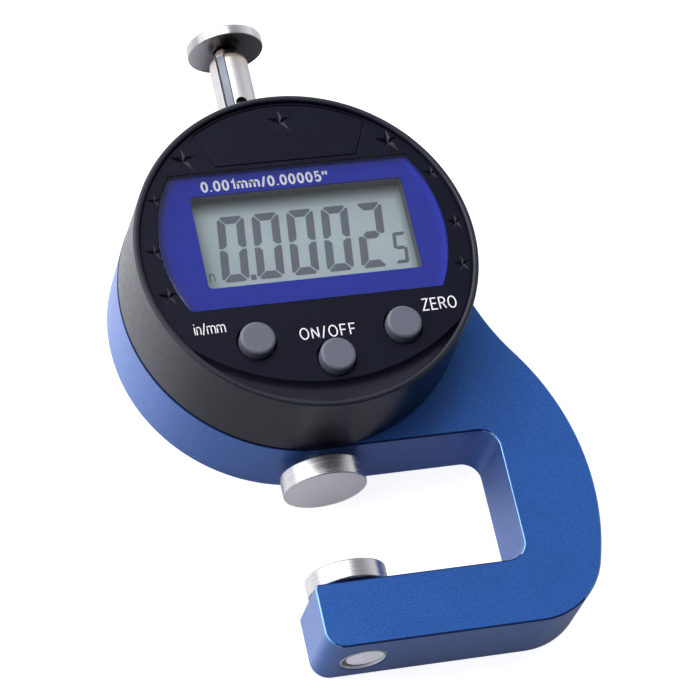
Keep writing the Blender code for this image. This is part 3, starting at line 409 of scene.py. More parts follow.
class Finish:
    """A material whose Principled shader is fed by noise on Object coordinates."""

    def __init__(self, name, **values):
        self.material = bpy.data.materials.new(name)
        self.material.use_nodes = True
        self.tree = self.material.node_tree
        self.shader = self.tree.nodes["Principled BSDF"]
        for key, value in values.items():
            self.shader.inputs[key.replace("_", " ").title().replace("Ior", "IOR")].default_value = value
        self.place = put(self.tree, "ShaderNodeTexCoord").outputs["Object"]

    def feed(self, socket, value):
        self.tree.links.new(value, self.shader.inputs[socket])

    def along(self, axis):
        """One Object coordinate."""
        return put(self.tree, "ShaderNodeSeparateXYZ", {"Vector": self.place}).outputs[axis]

    def offset(self, location, scale=(1.0, 1.0, 1.0)):
        """Object coordinates from another origin."""
        inputs = {"Vector": self.place, "Location": location, "Scale": scale}
        return put(self.tree, "ShaderNodeMapping", inputs, vector_type="POINT").outputs["Vector"]

    def painted_left_shade(self, tone, amount):
        """The tone with painted shade, darker towards the side that lies at -X of the spindle."""
        side = spread(self.tree, self.along("X"), amount, 0.0, HEAD_X - 0.0026, HEAD_X + 0.0018)
        return blended(self.tree, side, tone, NO_COLOUR)

    def colours(self, colour, cloud, cloud_amount, speck, speck_amount):
        """Colour with slow clouds and fine specks; gives the specks' value."""
        clouds = grain(self.tree, self.place, cloud, 3.0)
        slow = blended(
            self.tree, spread(self.tree, clouds, 0.0, 1.0), shaded(colour, 1.0 - cloud_amount),
            shaded(colour, 1.0 + cloud_amount),
        )
        specks = grain(self.tree, self.place, speck, 1.0)
        self.tone = blended(self.tree, spread(self.tree, specks, speck_amount, 0.0), slow, NO_COLOUR)
        self.feed("Base Color", self.tone)
        return specks

    def roughness(self, low, high, scale, detail=2.0):
        self.feed("Roughness", spread(self.tree, grain(self.tree, self.place, scale, detail), low, high))

    def relief(self, height, distance, strength=1.0):
        """Bump from a height value; the distance is in metres."""
        node = put(
            self.tree, "ShaderNodeBump", {"Height": height, "Distance": distance, "Strength": strength}
        )
        self.feed("Normal", node.outputs["Normal"])

    def turning_marks(self, scale):
        """Noise that runs in rings about the spindle, on faces and on walls."""
        offset = self.offset((-HEAD_X, 0.0, -SPINDLE_Z))
        parts = put(self.tree, "ShaderNodeSeparateXYZ", {"Vector": offset})
        flat = put(self.tree, "ShaderNodeCombineXYZ", {"X": parts.outputs["X"], "Y": parts.outputs["Z"]})
        reach = put(self.tree, "ShaderNodeVectorMath", {0: flat.outputs["Vector"]}, operation="LENGTH")
        rings = put(
            self.tree, "ShaderNodeCombineXYZ", {"X": reach.outputs["Value"], "Y": parts.outputs["Y"]}
        )
        return grain(self.tree, rings.outputs["Vector"], scale, 3.0, 0.7)


def blasted_blue():
    """Bead-blasted aluminium, blue anodised and sealed; painted sheen at grazing angles, painted arm shade.
    """
    finish = Finish(
        "anodised_blue", metallic=0.45, specular_ior_level=0.18, coat_weight=0.24, coat_roughness=0.30
    )
    specks = finish.colours((0.025, 0.126, 0.500), 90.0, 0.05, 5200.0, 0.22)
    glints = spread(finish.tree, specks, 0.0, 0.42, 0.57, 0.72)
    tone = blended(finish.tree, glints, finish.tone, (0.12, 0.32, 0.80))
    # Painted sheen: a paler blue mixed in where the surface is seen at a grazing angle.
    facing = put(finish.tree, "ShaderNodeLayerWeight", {"Blend": 0.5}).outputs["Facing"]
    painted_sheen = spread(finish.tree, facing, 0.0, 0.34, 0.46, 0.80)
    tone = blended(finish.tree, painted_sheen, tone, (0.32, 0.42, 0.74))
    # Painted shade: the blue is a little darker over the arm, fading out towards the head.
    arm_top = HEAD_Y + ARM_TOP_Y
    arm_painted_shade = spread(finish.tree, finish.along("Y"), 0.09, 0.0, arm_top, arm_top + 0.016)
    finish.feed("Base Color", blended(finish.tree, arm_painted_shade, tone, NO_COLOUR))
    finish.roughness(0.38, 0.54, 2600.0)
    finish.relief(specks, 0.000022, 0.7)
    return finish.material


def highlit_edge_blue():
    """Edges on the lit sides: the same blue layer on smoother metal, lighter as a painted highlight."""
    finish = Finish("highlit_edge_blue", metallic=0.85)
    specks = finish.colours((0.22, 0.44, 0.86), 200.0, 0.12, 5200.0, 0.20)
    finish.roughness(0.20, 0.30, 1800.0)
    finish.relief(specks, 0.000002, 0.3)
    return finish.material


def moulded_black(name, colour, specular, rough):
    """Black moulding with a fine matt grain."""
    finish = Finish(name, specular_ior_level=specular, specular_tint=(0.80, 0.81, 1.0, 1.0))
    specks = finish.colours(colour, 140.0, 0.12, 4200.0, 0.25)
    finish.roughness(*rough, 900.0)
    finish.relief(specks, 0.000009, 0.5)
    return finish.material


def turned_steel(name, colour, rough, ring_scale, depth, marks=0.25, metallic=1.0, dim=0.0):
    """Bright steel with the rings that a lathe or a lap leaves; dim paints shade towards -X."""
    finish = Finish(name, metallic=metallic)
    rings = finish.turning_marks(ring_scale)
    tone = blended(finish.tree, spread(finish.tree, rings, 0.0, 1.0), shaded(colour, 1.0 - marks), colour)
    if dim:
        tone = finish.painted_left_shade(tone, dim)
    finish.feed("Base Color", tone)
    clouds = grain(finish.tree, finish.place, 420.0, 4.0, 0.6)
    mixed = maths(finish.tree, "MULTIPLY", rings, 0.8)
    total = maths(finish.tree, "ADD", mixed, maths(finish.tree, "MULTIPLY", clouds, 0.2))
    finish.feed("Roughness", spread(finish.tree, total, *rough, 0.35, 0.65))
    finish.relief(rings, depth, 0.6)
    return finish.material


def warm_topped_steel():
    """Sleeve: soft bright steel, a little warm towards its shoulder, with painted shade towards -X."""
    finish = Finish("sleeve_steel", metallic=0.55)
    rings = finish.turning_marks(1200.0)
    tone = blended(finish.tree, spread(finish.tree, rings, 0.0, 0.06), (0.68, 0.67, 0.70), NO_COLOUR)
    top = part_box("lift_sleeve")[1].y + SLEEVE_SHOULDER
    near_top = spread(finish.tree, finish.along("Y"), 0.0, 0.9, top - 0.0042, top - 0.0006)
    tone = blended(finish.tree, near_top, tone, (0.70, 0.62, 0.54))
    finish.feed("Base Color", finish.painted_left_shade(tone, 0.22))
    finish.roughness(0.32, 0.40, 300.0, 4.0)
    finish.relief(rings, 0.000001, 0.4)
    return finish.material


def underside_painted_reflection():
    """Polished turned face coloured as painted reflection: dark, with a paler sweep towards one side."""
    finish = Finish("cap_underside", metallic=1.0)
    rings = finish.turning_marks(1500.0)
    across = spread(finish.tree, finish.along("X"), 0.0, 1.0, HEAD_X - 0.007, HEAD_X + 0.007)
    # Painted reflection: pale at one side, dark across the middle.
    sweep = ramp(
        finish.tree, across,
        (
            (0.02, (0.54, 0.53, 0.57)), (0.20, (0.34, 0.33, 0.37)), (0.42, (0.024, 0.021, 0.022)),
            (0.60, (0.035, 0.032, 0.036)), (0.80, (0.075, 0.070, 0.085)),
        ),
    )
    finish.feed("Base Color", blended(finish.tree, spread(finish.tree, rings, 0.16, 0.0), sweep, NO_COLOUR))
    finish.roughness(0.20, 0.32, 420.0, 4.0)
    finish.relief(rings, 0.000002, 0.5)
    return finish.material


def plain(
    name, colour, rough, metallic=0.0, cloud=0.08, speck=0.15, bump=0.000006, scale=3000.0, specular=0.5
):
    """Plain part finish: slow clouds, fine specks, slight relief."""
    finish = Finish(name, metallic=metallic, specular_ior_level=specular)
    specks = finish.colours(colour, 150.0, cloud, scale, speck)
    finish.roughness(*rough, scale / 4)
    finish.relief(specks, bump, 0.5)
    return finish.material


def clear_panel():
    """Clear display panel: glass that lets the lamps through to what lies behind it."""
    finish = Finish("panel_clear", transmission_weight=1.0, ior=1.49, base_color=(0.96, 0.97, 1.0, 1.0))
    finish.roughness(0.012, 0.03, 300.0)
    tree = finish.tree
    rays = put(tree, "ShaderNodeLightPath")
    open_air = put(tree, "ShaderNodeBsdfTransparent", {"Color": (0.96, 0.965, 0.99, 1.0)})
    both = put(
        tree, "ShaderNodeMixShader",
        {0: rays.outputs["Is Shadow Ray"], 1: finish.shader.outputs[0], 2: open_air.outputs[0]},
    )
    tree.links.new(both.outputs[0], tree.nodes["Material Output"].inputs["Surface"])
    return finish.material


def printed_blue():
    """Print behind the panel; painted shadow along its left edge, painted highlight along its right."""
    finish = Finish("print_blue", specular_ior_level=0.12)
    tree = finish.tree
    specks = finish.colours((0.002, 0.019, 0.390), 150.0, 0.03, 3000.0, 0.04)
    offset = finish.offset((-HEAD_X, -HEAD_Y - PANEL_ARC_Y, 0.0), (1.0, 1.0, 0.0))
    across = put(tree, "ShaderNodeSeparateXYZ", {"Vector": offset}).outputs["X"]
    reach = put(tree, "ShaderNodeVectorMath", {0: offset}, operation="LENGTH").outputs["Value"]
    tone = finish.tone
    # Painted shadow near the left edge and painted highlight near the right edge.
    for amounts, side, band, most, colour in (
        ((1.0, 0.0), (-0.016, -0.006), 0.0012, 0.80, (0.003, 0.005, 0.045)),
        ((0.0, 0.8), (0.016, 0.021), 0.0016, 1.0, (0.020, 0.040, 0.640)),
    ):
        near_side = spread(tree, across, *amounts, *side)
        near_edge = spread(tree, reach, 0.0, most, PANEL_ARC_R - band, PANEL_ARC_R)
        tone = blended(tree, maths(tree, "MULTIPLY", near_side, near_edge), tone, colour)
    finish.feed("Base Color", tone)
    finish.roughness(0.60, 0.70, 750.0)
    finish.relief(specks, 0.000002, 0.5)
    return finish.material


def display_grey():
    """Reflective display: grey-green, in shade below the window's top and beside its right edge."""
    finish = Finish("display_grey", specular_ior_level=0.3)
    specks = finish.colours((0.530, 0.640, 0.630), 120.0, 0.04, 6000.0, 0.06)
    top = HEAD_Y + WINDOW_CENTRE[1] + WINDOW_SIZE[1] / 2
    side = HEAD_X + WINDOW_CENTRE[0] + WINDOW_SIZE[0] / 2
    below = spread(finish.tree, finish.along("Y"), 0.0, 0.74, top - 0.0030, top - 0.0002)
    beside = spread(finish.tree, finish.along("X"), 0.0, 0.55, side - 0.0014, side)
    shade = maths(finish.tree, "MAXIMUM", below, beside)
    finish.feed("Base Color", blended(finish.tree, shade, finish.tone, (0.05, 0.056, 0.07)))
    finish.roughness(0.42, 0.55, 700.0)
    finish.relief(specks, 0.000003, 0.3)
    return finish.material


def milky_plug():
    """Milky plug with a faint emission as a painted glow."""
    finish = Finish(
        "plug_milky_painted_glow", transmission_weight=0.06, ior=1.47, base_color=(0.90, 0.91, 1.0, 1.0),
        emission_color=(0.80, 0.82, 1.0, 1.0), emission_strength=0.22,
    )
    finish.roughness(0.16, 0.30, 1400.0)
    finish.relief(grain(finish.tree, finish.place, 900.0, 3.0), 0.00002, 0.3)
    return finish.material


def circuit_board():
    """Green solder mask with lighter tracks below it."""
    finish = Finish("board_green", specular_ior_level=0.6)
    tree = finish.tree
    tracks = put(
        tree, "ShaderNodeTexBrick",
        {
            "Vector": finish.place, "Color1": (0.018, 0.120, 0.050, 1.0),
            "Color2": (0.024, 0.150, 0.064, 1.0), "Mortar": (0.050, 0.235, 0.100, 1.0), "Scale": 260.0,
            "Mortar Size": 0.05,
        },
    )
    finish.feed("Base Color", tracks.outputs["Color"])
    finish.roughness(0.30, 0.42, 800.0)
    finish.relief(tracks.outputs["Fac"], 0.00002, 0.4)
    return finish.material


BLUE = blasted_blue()
BLUE_EDGE = highlit_edge_blue()
BLACK = moulded_black("housing_black", (0.0030, 0.0042, 0.0135), 0.185, (0.33, 0.43))
SIDE_BLACK = moulded_black("housing_side", (0.0042, 0.0050, 0.0150), 0.31, (0.28, 0.36))
# The rim and outer edge blacks are lighter than the face black: painted highlight.
RIM_HIGHLIGHT_BLACK = moulded_black("housing_rim_painted_highlight", (0.0240, 0.0260, 0.0380), 0.30, (0.30, 0.40))
# The scoop black is lighter than the face black: painted light on the falling slope.
SCOOP_LIT_BLACK = moulded_black("housing_scoop_painted_light", (0.0110, 0.0122, 0.0210), 0.26, (0.33, 0.43))
EDGE_HIGHLIGHT_BLACK = moulded_black("housing_edge_painted_highlight", (0.0210, 0.0225, 0.0320), 0.36, (0.30, 0.40))
STAR_BLACK = moulded_black("star_black", (0.0040, 0.0050, 0.0120), 0.36, (0.26, 0.34))
LID = moulded_black("lid_black", (0.0034, 0.0044, 0.0140), 0.19, (0.30, 0.40))
CAP_UNDER = underside_painted_reflection()
# The last argument paints shade on the -X side of the cap.
CAP_STEEL = turned_steel("cap_steel", (0.68, 0.67, 0.71), (0.18, 0.28), 1500.0, 0.000002, 0.08, 0.85, 0.44)
SLEEVE_STEEL = warm_topped_steel()
ROD_STEEL = turned_steel("rod_steel", (0.52, 0.55, 0.61), (0.14, 0.26), 1800.0, 0.000003)
# The last argument paints shade on the -X side of the anvil.
ANVIL_STEEL = turned_steel(
    "anvil_steel", (0.66, 0.64, 0.68), (0.22, 0.32), 2600.0, 0.0000015, 0.16, 0.9, 0.12
)
# Lapped faces, lighter than the anvil steel as painted light.
ANVIL_LAP_LIT = turned_steel("anvil_lap_painted_light", (0.96, 0.93, 0.99), (0.28, 0.34), 1400.0, 0.0000005, 0.05, 0.5)
# Dark rounded edge of the lower anvil: painted shade.
ANVIL_EDGE_SHADE = plain("anvil_edge_painted_shade", (0.12, 0.10, 0.11), (0.45, 0.55), specular=0.2)
# Painted shade for the walls of the sleeve's cross hole.
HOLE_SHADE = plain("hole_painted_shade", (0.035, 0.030, 0.028), (0.45, 0.60), 0.6)
KEY_STRIP = plain("key_strip", (0.17, 0.19, 0.225), (0.42, 0.54), 0.6, 0.10, 0.12)
STRIP_TIP = plain("strip_tip", (0.58, 0.49, 0.45), (0.36, 0.48), 0.4)
SCREW_STEEL = plain("screw_steel", (0.42, 0.42, 0.44), (0.25, 0.40), 1.0)
BRASS = plain("bush_brass", (0.62, 0.44, 0.16), (0.24, 0.40), 1.0)
PANEL = clear_panel()
PRINT_BLUE = printed_blue()
PRINT_BRIGHT = plain("print_bright", (0.98, 0.98, 1.0), (0.45, 0.60), 0.0, 0.02, 0.03, 0.000002)
PRINT_WHITE = plain("print_white", (0.92, 0.93, 0.98), (0.45, 0.60), 0.0, 0.03, 0.05, 0.000002)
DISPLAY = display_grey()
SEGMENT = plain("segment_dark", (0.135, 0.155, 0.190), (0.40, 0.50), 0.0, 0.05, 0.08, 0.000002)
SEGMENT_FAINT = plain("segment_faint", (0.185, 0.215, 0.240), (0.40, 0.50), 0.0, 0.05, 0.08, 0.000002)
WINDOW_WALL = plain("window_wall", (0.112, 0.114, 0.142), (0.45, 0.60), 0.0, 0.05, 0.08, 0.000002)
# Deep blue for frame edges that lie in shade: painted shade.
SHADE_BLUE = plain("painted_shade_blue", (0.005, 0.020, 0.100), (0.50, 0.60), specular=0.10)
KEY_GREY = plain("key_grey", (0.118, 0.130, 0.175), (0.42, 0.54), 0.0, 0.05, 0.10, 0.000006, 2400.0)
PLUG = milky_plug()
# Bright lip as painted highlight, dark groove as painted shade.
PLUG_LIP_HIGHLIGHT = plain("plug_lip_painted_highlight", (0.86, 0.88, 0.96), (0.20, 0.30), 0.2, 0.05, 0.08, 0.000002)
PLUG_GROOVE_SHADE = plain("plug_groove_painted_shade", (0.090, 0.110, 0.105), (0.16, 0.28), 0.0, 0.10, 0.10, 0.000002)
BOARD = circuit_board()


# Frame

def bearing(origin, target):
    return math.degrees(math.atan2(target[1] - origin[1], target[0] - origin[0]))


def frame_outline():
    """Outer shape of the C-frame, as lines and tangent arcs."""
    from_disc = DISC_R + SHOULDER_BLEND_R
    from_spine = SPINE_R + SHOULDER_BLEND_R
    apart = math.hypot(*SPINE_CENTRE)
    along = (from_disc ** 2 - from_spine ** 2 + apart ** 2) / (2 * apart)
    across = math.sqrt(from_disc ** 2 - along ** 2)
    ux, uy = SPINE_CENTRE[0] / apart, SPINE_CENTRE[1] / apart
    shoulder = (along * ux - across * uy, along * uy + across * ux)
    heel_y = ARM_BOTTOM_Y + HEEL_R
    reach = SPINE_R - HEEL_R
    heel = (SPINE_CENTRE[0] + math.sqrt(reach ** 2 - (heel_y - SPINE_CENTRE[1]) ** 2), heel_y)
    flat_angle = math.degrees(math.asin(-THROAT_TOP_Y / DISC_R))
    heel_angle = bearing(SPINE_CENTRE, heel)
    points = arc((0.0, 0.0), DISC_R, bearing((0.0, 0.0), shoulder), 180 + flat_angle, 140)
    inner_x = THROAT_DEPTH - THROAT_FILLET
    points += arc((inner_x, THROAT_TOP_Y - THROAT_FILLET), THROAT_FILLET, 90, 0, 16)
    points += arc((inner_x, ARM_TOP_Y + THROAT_FILLET), THROAT_FILLET, 0, -90, 16)
    corner = ARM_TOP_CORNER_R
    points += arc((ARM_END_X + corner, ARM_TOP_Y - corner), corner, 90, 180, 8)
    corner = ARM_HEEL_CORNER_R
    points += arc((ARM_END_X + corner, ARM_BOTTOM_Y + corner), corner, 180, 270, 16)
    points += arc(heel, HEEL_R, -90, heel_angle, 30)
    points += arc(SPINE_CENTRE, SPINE_R, heel_angle, bearing(SPINE_CENTRE, shoulder), 60)[1:]
    start = bearing(shoulder, SPINE_CENTRE) % 360
    end = bearing(shoulder, (0.0, 0.0)) % 360
    return points + arc(shoulder, SHOULDER_BLEND_R, start, end, 24)[1:-1]


def make_frame():
    """C-frame with its pockets; edges take a painted-highlight blue, or a painted-shade deep blue in shade.
    """
    outline = frame_outline()
    bm = slab(outline, 0.0, FRAME_T)
    rims = [edge for edge in bm.edges if abs(edge.verts[0].co.z - edge.verts[1].co.z) < 1e-7]
    bmesh.ops.bevel(
        bm, geom=rims, offset=FRAME_EDGE, affect="EDGES", segments=2, profile=0.5, material=-1
    )
    board_seat_z = FRAME_T - BOARD_SEAT_DEPTH
    past = FRAME_T
    pocket = turned(
        [
            (0.0, -past), (COVER_SEAT_R + 0.0003, -past), (COVER_SEAT_R + 0.0003, 0.0),
            (COVER_SEAT_R, 0.0003), (COVER_SEAT_R, COVER_SEAT_DEPTH), (POCKET_R, COVER_SEAT_DEPTH),
            (POCKET_R, board_seat_z), (BOARD_SEAT_R, board_seat_z), (BOARD_SEAT_R, FRAME_T + past),
            (0.0, FRAME_T + past),
        ],
        FINE,
    )
    head_to_spindle = at(0.0, 0.0, SPINDLE_Z) @ UPRIGHT_TO_Y
    upper = cylinder(radius_of("upper_bush") + 0.00004, 0.0, 0.05)
    lower = cylinder(radius_of("lower_bush") + 0.00004, -0.05, 0.0)
    plug_r = radius_of("anvil_plug") + PLUG_EXTRA
    seat = turned(
        [
            (0.0, ARM_BOTTOM_Y - 0.01), (plug_r + 0.0003, ARM_BOTTOM_Y - 0.01),
            (plug_r + 0.0003, ARM_BOTTOM_Y), (plug_r + 0.0001, ARM_BOTTOM_Y + 0.0002),
            (plug_r + 0.0001, ARM_BOTTOM_Y + 0.0063), (0.0, ARM_BOTTOM_Y + 0.0063),
        ]
    )
    bore = cylinder(0.0023, ARM_BOTTOM_Y + 0.003, ARM_TOP_Y + 0.003)
    cutters = [pocket]
    cutters += [moved(cutter, head_to_spindle) for cutter in (upper, lower, bore)]
    cutters.append(moved(seat, at(PLUG_SHIFT[0], 0.0, PLUG_SHIFT[1]) @ head_to_spindle))
    bm = carved(bm, cutters)
    # Edge faces: painted highlight where lit; painted shade on the top edges by the head and those turned
    # towards +Y or -Y.
    for face in bm.faces:
        centre = face.calc_center_median()
        near_rim = min(abs(centre.z), abs(centre.z - FRAME_T)) < FRAME_EDGE
        at_edge = near_rim and 0.15 < abs(face.normal.z) < 0.985
        by_head = math.hypot(centre.x, centre.y) < DISC_R + 0.0004
        shaded_edge = abs(face.normal.y) > 0.3 and face.normal.x > -0.3
        if at_edge and centre.z > 0.01 and (by_head or shaded_edge):
            face.material_index = 2
        else:
            face.material_index = 1 if at_edge else 0
    finishes = (BLUE, BLUE_EDGE, SHADE_BLUE)
    finished("frame_body", bm, FACE_PLACE, finishes, "gauge_body", ["frame"])


def make_back():
    """Round cover on the back, with its four screws."""
    low, high = (corner.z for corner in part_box("back_cover"))
    radius = COVER_SEAT_R - 0.00012
    edge = 0.0003
    profile = softened([(0.0, low, 0.0), (radius, low, edge), (radius, high, 0.0001), (0.0, high, 0.0)], 4)
    holes = []
    for angle in COVER_SCREW_ANGLES:
        hole = turned(
            [
                (0.0, -0.002), (SCREW_HEAD_R + 0.0004, -0.002), (SCREW_HEAD_R + 0.0004, low),
                (SCREW_HEAD_R + 0.0001, low + 0.0003), (SCREW_HEAD_R + 0.0001, low + 0.0012),
                (0.0010, low + 0.0012), (0.0010, high + 0.002), (0.0, high + 0.002),
            ],
            SCREW_STEPS,
        )
        holes.append(moved(hole, on_ring(angle)))
    cover = carved(turned(profile, FINE), holes)
    finished("back_plate", cover, FACE_PLACE, [BLUE], "gauge_body", ["back_cover"])
    for number, angle in enumerate(COVER_SCREW_ANGLES, start=1):
        small_screw(f"back_screw_{number}", f"cover_screw_{number}", angle)


def small_screw(name, node, angle):
    """Pan-head screw with a cross recess."""
    low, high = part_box(node)
    head_t = 0.0009
    profile = softened(
        [
            (0.0, low.z, 0.0), (SCREW_HEAD_R, low.z, 0.00035), (SCREW_HEAD_R, low.z + head_t, 0.00008),
            (0.0008, low.z + head_t, 0.0), (0.0008, high.z - 0.0003, 0.0), (0.0005, high.z, 0.0),
            (0.0, high.z, 0.0),
        ],
        3,
    )
    width, length, depth = 0.00032, 0.0019, 0.00055
    outline = rounded_rectangle((0.0, 0.0), length, width, width * 0.3, 2)
    slots = []
    for turn in (20.0, 110.0):
        slot = slab(outline, low.z - 0.0005, low.z + depth)
        slots.append(moved(slot, Matrix.Rotation(math.radians(turn), 4, "Z")))
    screw = carved(turned(profile, SCREW_STEPS), slots)
    finished(name, screw, FACE_PLACE @ on_ring(angle), [SCREW_STEEL], "gauge_body", [node])


# Display head: shapes

def panel_outline(offset):
    """Display panel: flat top and bottom, round sides, grown by an offset."""
    radius = PANEL_ARC_R + offset
    high = math.degrees(math.asin((PANEL_TOP_Y + offset - PANEL_ARC_Y) / radius))
    low = math.degrees(math.asin((PANEL_BOTTOM_Y - offset - PANEL_ARC_Y) / radius))
    centre = (0.0, PANEL_ARC_Y)
    return arc(centre, radius, low, high, 40) + arc(centre, radius, 180 - high, 180 - low, 40)


def door_outline(offset):
    """Battery lid: straight lower edge, sloping sides and an arc along the rim."""
    radius = DOOR_ARC_R + offset
    start = math.degrees(math.acos((DOOR_TOP_HALF + offset) / radius))
    low = DOOR_BOTTOM_Y - offset
    foot = DOOR_BOTTOM_HALF + offset
    return arc((0.0, 0.0), radius, start, 180 - start, 48) + [(-foot, low), (foot, low)]


def edge_broken(outline, low, edge):
    """Plate up to the face, with a small chamfer at its upper edge."""
    return prism([(outline(0.0), low), (outline(0.0), FACE_Z - edge), (outline(-edge), FACE_Z)])


def star_cutter(x, y, radius):
    """Pointed star with a ridge down each ray, deepest in the middle; it reaches past the face."""
    over = 1.12
    depth = radius * 0.22
    outline = []
    for point in range(10):
        reach = radius * over * (1.0 if point % 2 == 0 else 0.36)
        angle = math.radians(90 + point * 36)
        outline.append((x + reach * math.cos(angle), y + reach * math.sin(angle)))
    tip = [(x + (px - x) * 0.004, y + (py - y) * 0.004) for px, py in outline]
    return prism([(tip, FACE_Z - depth), (outline, FACE_Z + depth * (over - 1.0))])


def in_star(face, star, depth):
    """Whether a face is a slope of a pressed star."""
    x, y, size = star
    centre = face.calc_center_median()
    near = math.hypot(centre.x - x, centre.y - y) < size
    return near and centre.z > FACE_Z - depth and 0.30 < face.normal.z < 0.9999


def scoop_cutter():
    """Crescent that falls away from the face to the rim below the buttons."""
    blank = cylinder(FACE_R + 0.00005, FACE_Z - 0.0030, FACE_Z + 0.0014, FINE)
    slope = (
        (0.0090, 0.10), (0.0040, 0.38), (0.0034, 0.52), (0.0028, 0.70), (0.0022, 0.86), (0.0016, 0.97),
        (0.0011, 1.0), (0.0007, 0.92), (0.0003, 0.62), (0.0001, 0.30), (-0.0001, 0.0),
    )
    core = turned(
        [
            (0.0, FACE_Z - 0.0060), (SCOOP_R + slope[0][0], FACE_Z - 0.0060),
            *[(SCOOP_R + out, FACE_Z - SCOOP_DEPTH * share) for out, share in slope],
            (SCOOP_R - 0.0010, FACE_Z + 0.0030), (0.0, FACE_Z + 0.0030),
        ],
        FINE,
    )
    return carved(blank, [moved(core, at(0.0, SCOOP_CENTRE_Y))])


def make_housing():
    """Housing with its rim, openings, scoop and stars; rim, edge and scoop blacks are painted light."""
    rim_in = HOUSING_TOP_R - RIM_WIDTH
    profile = softened(
        [
            (0.0, FACE_BACK_Z, 0.0), (HOUSING_INNER_R, FACE_BACK_Z, 0.0),
            (HOUSING_INNER_R, HOUSING_Z, 0.0), (HOUSING_BASE_R, HOUSING_Z, 0.00020),
            (HOUSING_TOP_R, HEAD_TOP_Z, 0.00042), (rim_in, HEAD_TOP_Z, 0.00045),
            (rim_in - RIM_FOOT, FACE_Z - 0.00010, 0.0), (FACE_R, FACE_Z - 0.00010, 0.0),
            (FACE_R - 0.00005, FACE_Z, 0.0), (0.0, FACE_Z, 0.0),
        ],
        6,
    )
    above = HEAD_TOP_Z + 0.001
    seat_z = MASK_LOW_Z - 0.0001
    opening = rounded_rectangle(WINDOW_CENTRE, *WINDOW_SIZE, WINDOW_CORNER_R)
    inner = rounded_rectangle(WINDOW_CENTRE, WINDOW_SIZE[0] + 0.0016, WINDOW_SIZE[1] + 0.0016, 0.001)
    skirt = slab(inner, LCD_TOP_Z + 0.00005, FACE_BACK_Z + 0.0003)
    housing = carved(turned(profile, FINE), [skirt], "UNION")
    edge = 0.00008
    cutters = [
        scoop_cutter(),
        prism(
            [
                (panel_outline(SEAM), seat_z), (panel_outline(SEAM), FACE_Z - edge),
                (panel_outline(SEAM + 3 * edge), above),
            ]
        ),
        slab(opening, LCD_TOP_Z - 0.001, above),
        prism(
            [
                (door_outline(SEAM), FACE_Z - DOOR_T - CLEAR), (door_outline(SEAM), FACE_Z - edge),
                (door_outline(SEAM + 2 * edge), FACE_Z + edge),
            ]
        ),
    ]
    radius = BUTTON_R + BUTTON_GAP
    for node, (_, _, shift) in BUTTONS.items():
        hole = turned(
            [
                (0.0, FACE_BACK_Z - 0.001), (radius, FACE_BACK_Z - 0.001), (radius, FACE_Z - 0.0001),
                (radius + 0.0002, FACE_Z + 0.0001), (radius + 0.0002, above), (0.0, above),
            ],
            64,
        )
        cutters.append(moved(hole, at(*button_place(node, shift))))
    cutters += [star_cutter(*star) for star in STARS]
    bay = rounded_rectangle((0.0, 0.0220), 0.0140, 0.0086, 0.0006)
    cutters.append(slab(bay, FACE_BACK_Z - 0.001, FACE_Z - DOOR_T))
    housing = carved(housing, cutters)
    for face in housing.faces:
        centre = face.calc_center_median()
        off_x = abs(centre.x - WINDOW_CENTRE[0]) - WINDOW_SIZE[0] / 2
        off_y = abs(centre.y - WINDOW_CENTRE[1]) - WINDOW_SIZE[1] / 2
        in_window = max(off_x, off_y) < 0.00005 and centre.z > LCD_TOP_Z and abs(face.normal.z) < 0.5
        reach = math.hypot(centre.x, centre.y)
        outer = reach > HOUSING_TOP_R - 0.0003
        on_side = outer and centre.z < HEAD_TOP_Z - 0.00040
        on_edge = outer and centre.z < HEAD_TOP_Z - 0.00004
        on_rim = reach > HOUSING_TOP_R - RIM_WIDTH - 0.0001 and centre.z > HEAD_TOP_Z - 0.00020
        sloped = 0.30 < face.normal.z < 0.9999
        in_depth = FACE_Z - SCOOP_DEPTH * 1.2 < centre.z < FACE_Z - 0.00005
        in_scoop = sloped and in_depth and centre.y < -0.012 and reach < FACE_R
        on_star = any(in_star(face, star, SCOOP_DEPTH * 1.2) for star in STARS)
        # Rim and outer edge take lighter blacks as painted highlight, the scoop slope a lighter black as
        # painted light.
        kinds = ((in_window, 1), (on_side, 2), (on_edge, 5), (on_rim, 3), (on_star, 6), (in_scoop, 4))
        face.material_index = next((index for found, index in kinds if found), 0)
    finishes = (BLACK, WINDOW_WALL, SIDE_BLACK, RIM_HIGHLIGHT_BLACK, SCOOP_LIT_BLACK, EDGE_HIGHLIGHT_BLACK, STAR_BLACK)
    finished("head_shell", housing, FACE_PLACE, finishes, "gauge_body", ["housing"])


def make_lid():
    """Battery lid with a fine edge break and a pressed star."""
    lid = carved(edge_broken(door_outline, FACE_Z - DOOR_T, 0.00010), [star_cutter(*DOOR_STAR)])
    for face in lid.faces:
        face.material_index = 1 if in_star(face, DOOR_STAR, DOOR_STAR[2]) else 0
    finished("battery_lid", lid, FACE_PLACE, (LID, STAR_BLACK), "door", ["battery_door"])


def make_panel():
    """Clear panel, flush with the face, over a blue print that leaves the window free."""
    glass = edge_broken(panel_outline, MASK_TOP_Z + 0.00002, 0.00004)
    # Side faces take the housing black: painted shade along the panel's edge.
    for face in glass.faces:
        face.material_index = 1 if abs(face.normal.z) < 0.5 else 0
    finishes = (PANEL, BLACK)
    finished("panel_glass", glass, FACE_PLACE, finishes, "gauge_body", ["face_plate"])
    opening = rounded_rectangle(WINDOW_CENTRE, *WINDOW_SIZE, WINDOW_CORNER_R)
    mask = slab(panel_outline(0.00002), MASK_LOW_Z, MASK_TOP_Z)
    mask = carved(mask, [slab(opening, MASK_LOW_Z - 0.001, MASK_TOP_Z + 0.001)])
    finished("panel_print", mask, FACE_PLACE, [PRINT_BLUE], "gauge_body", ["face_mask"])


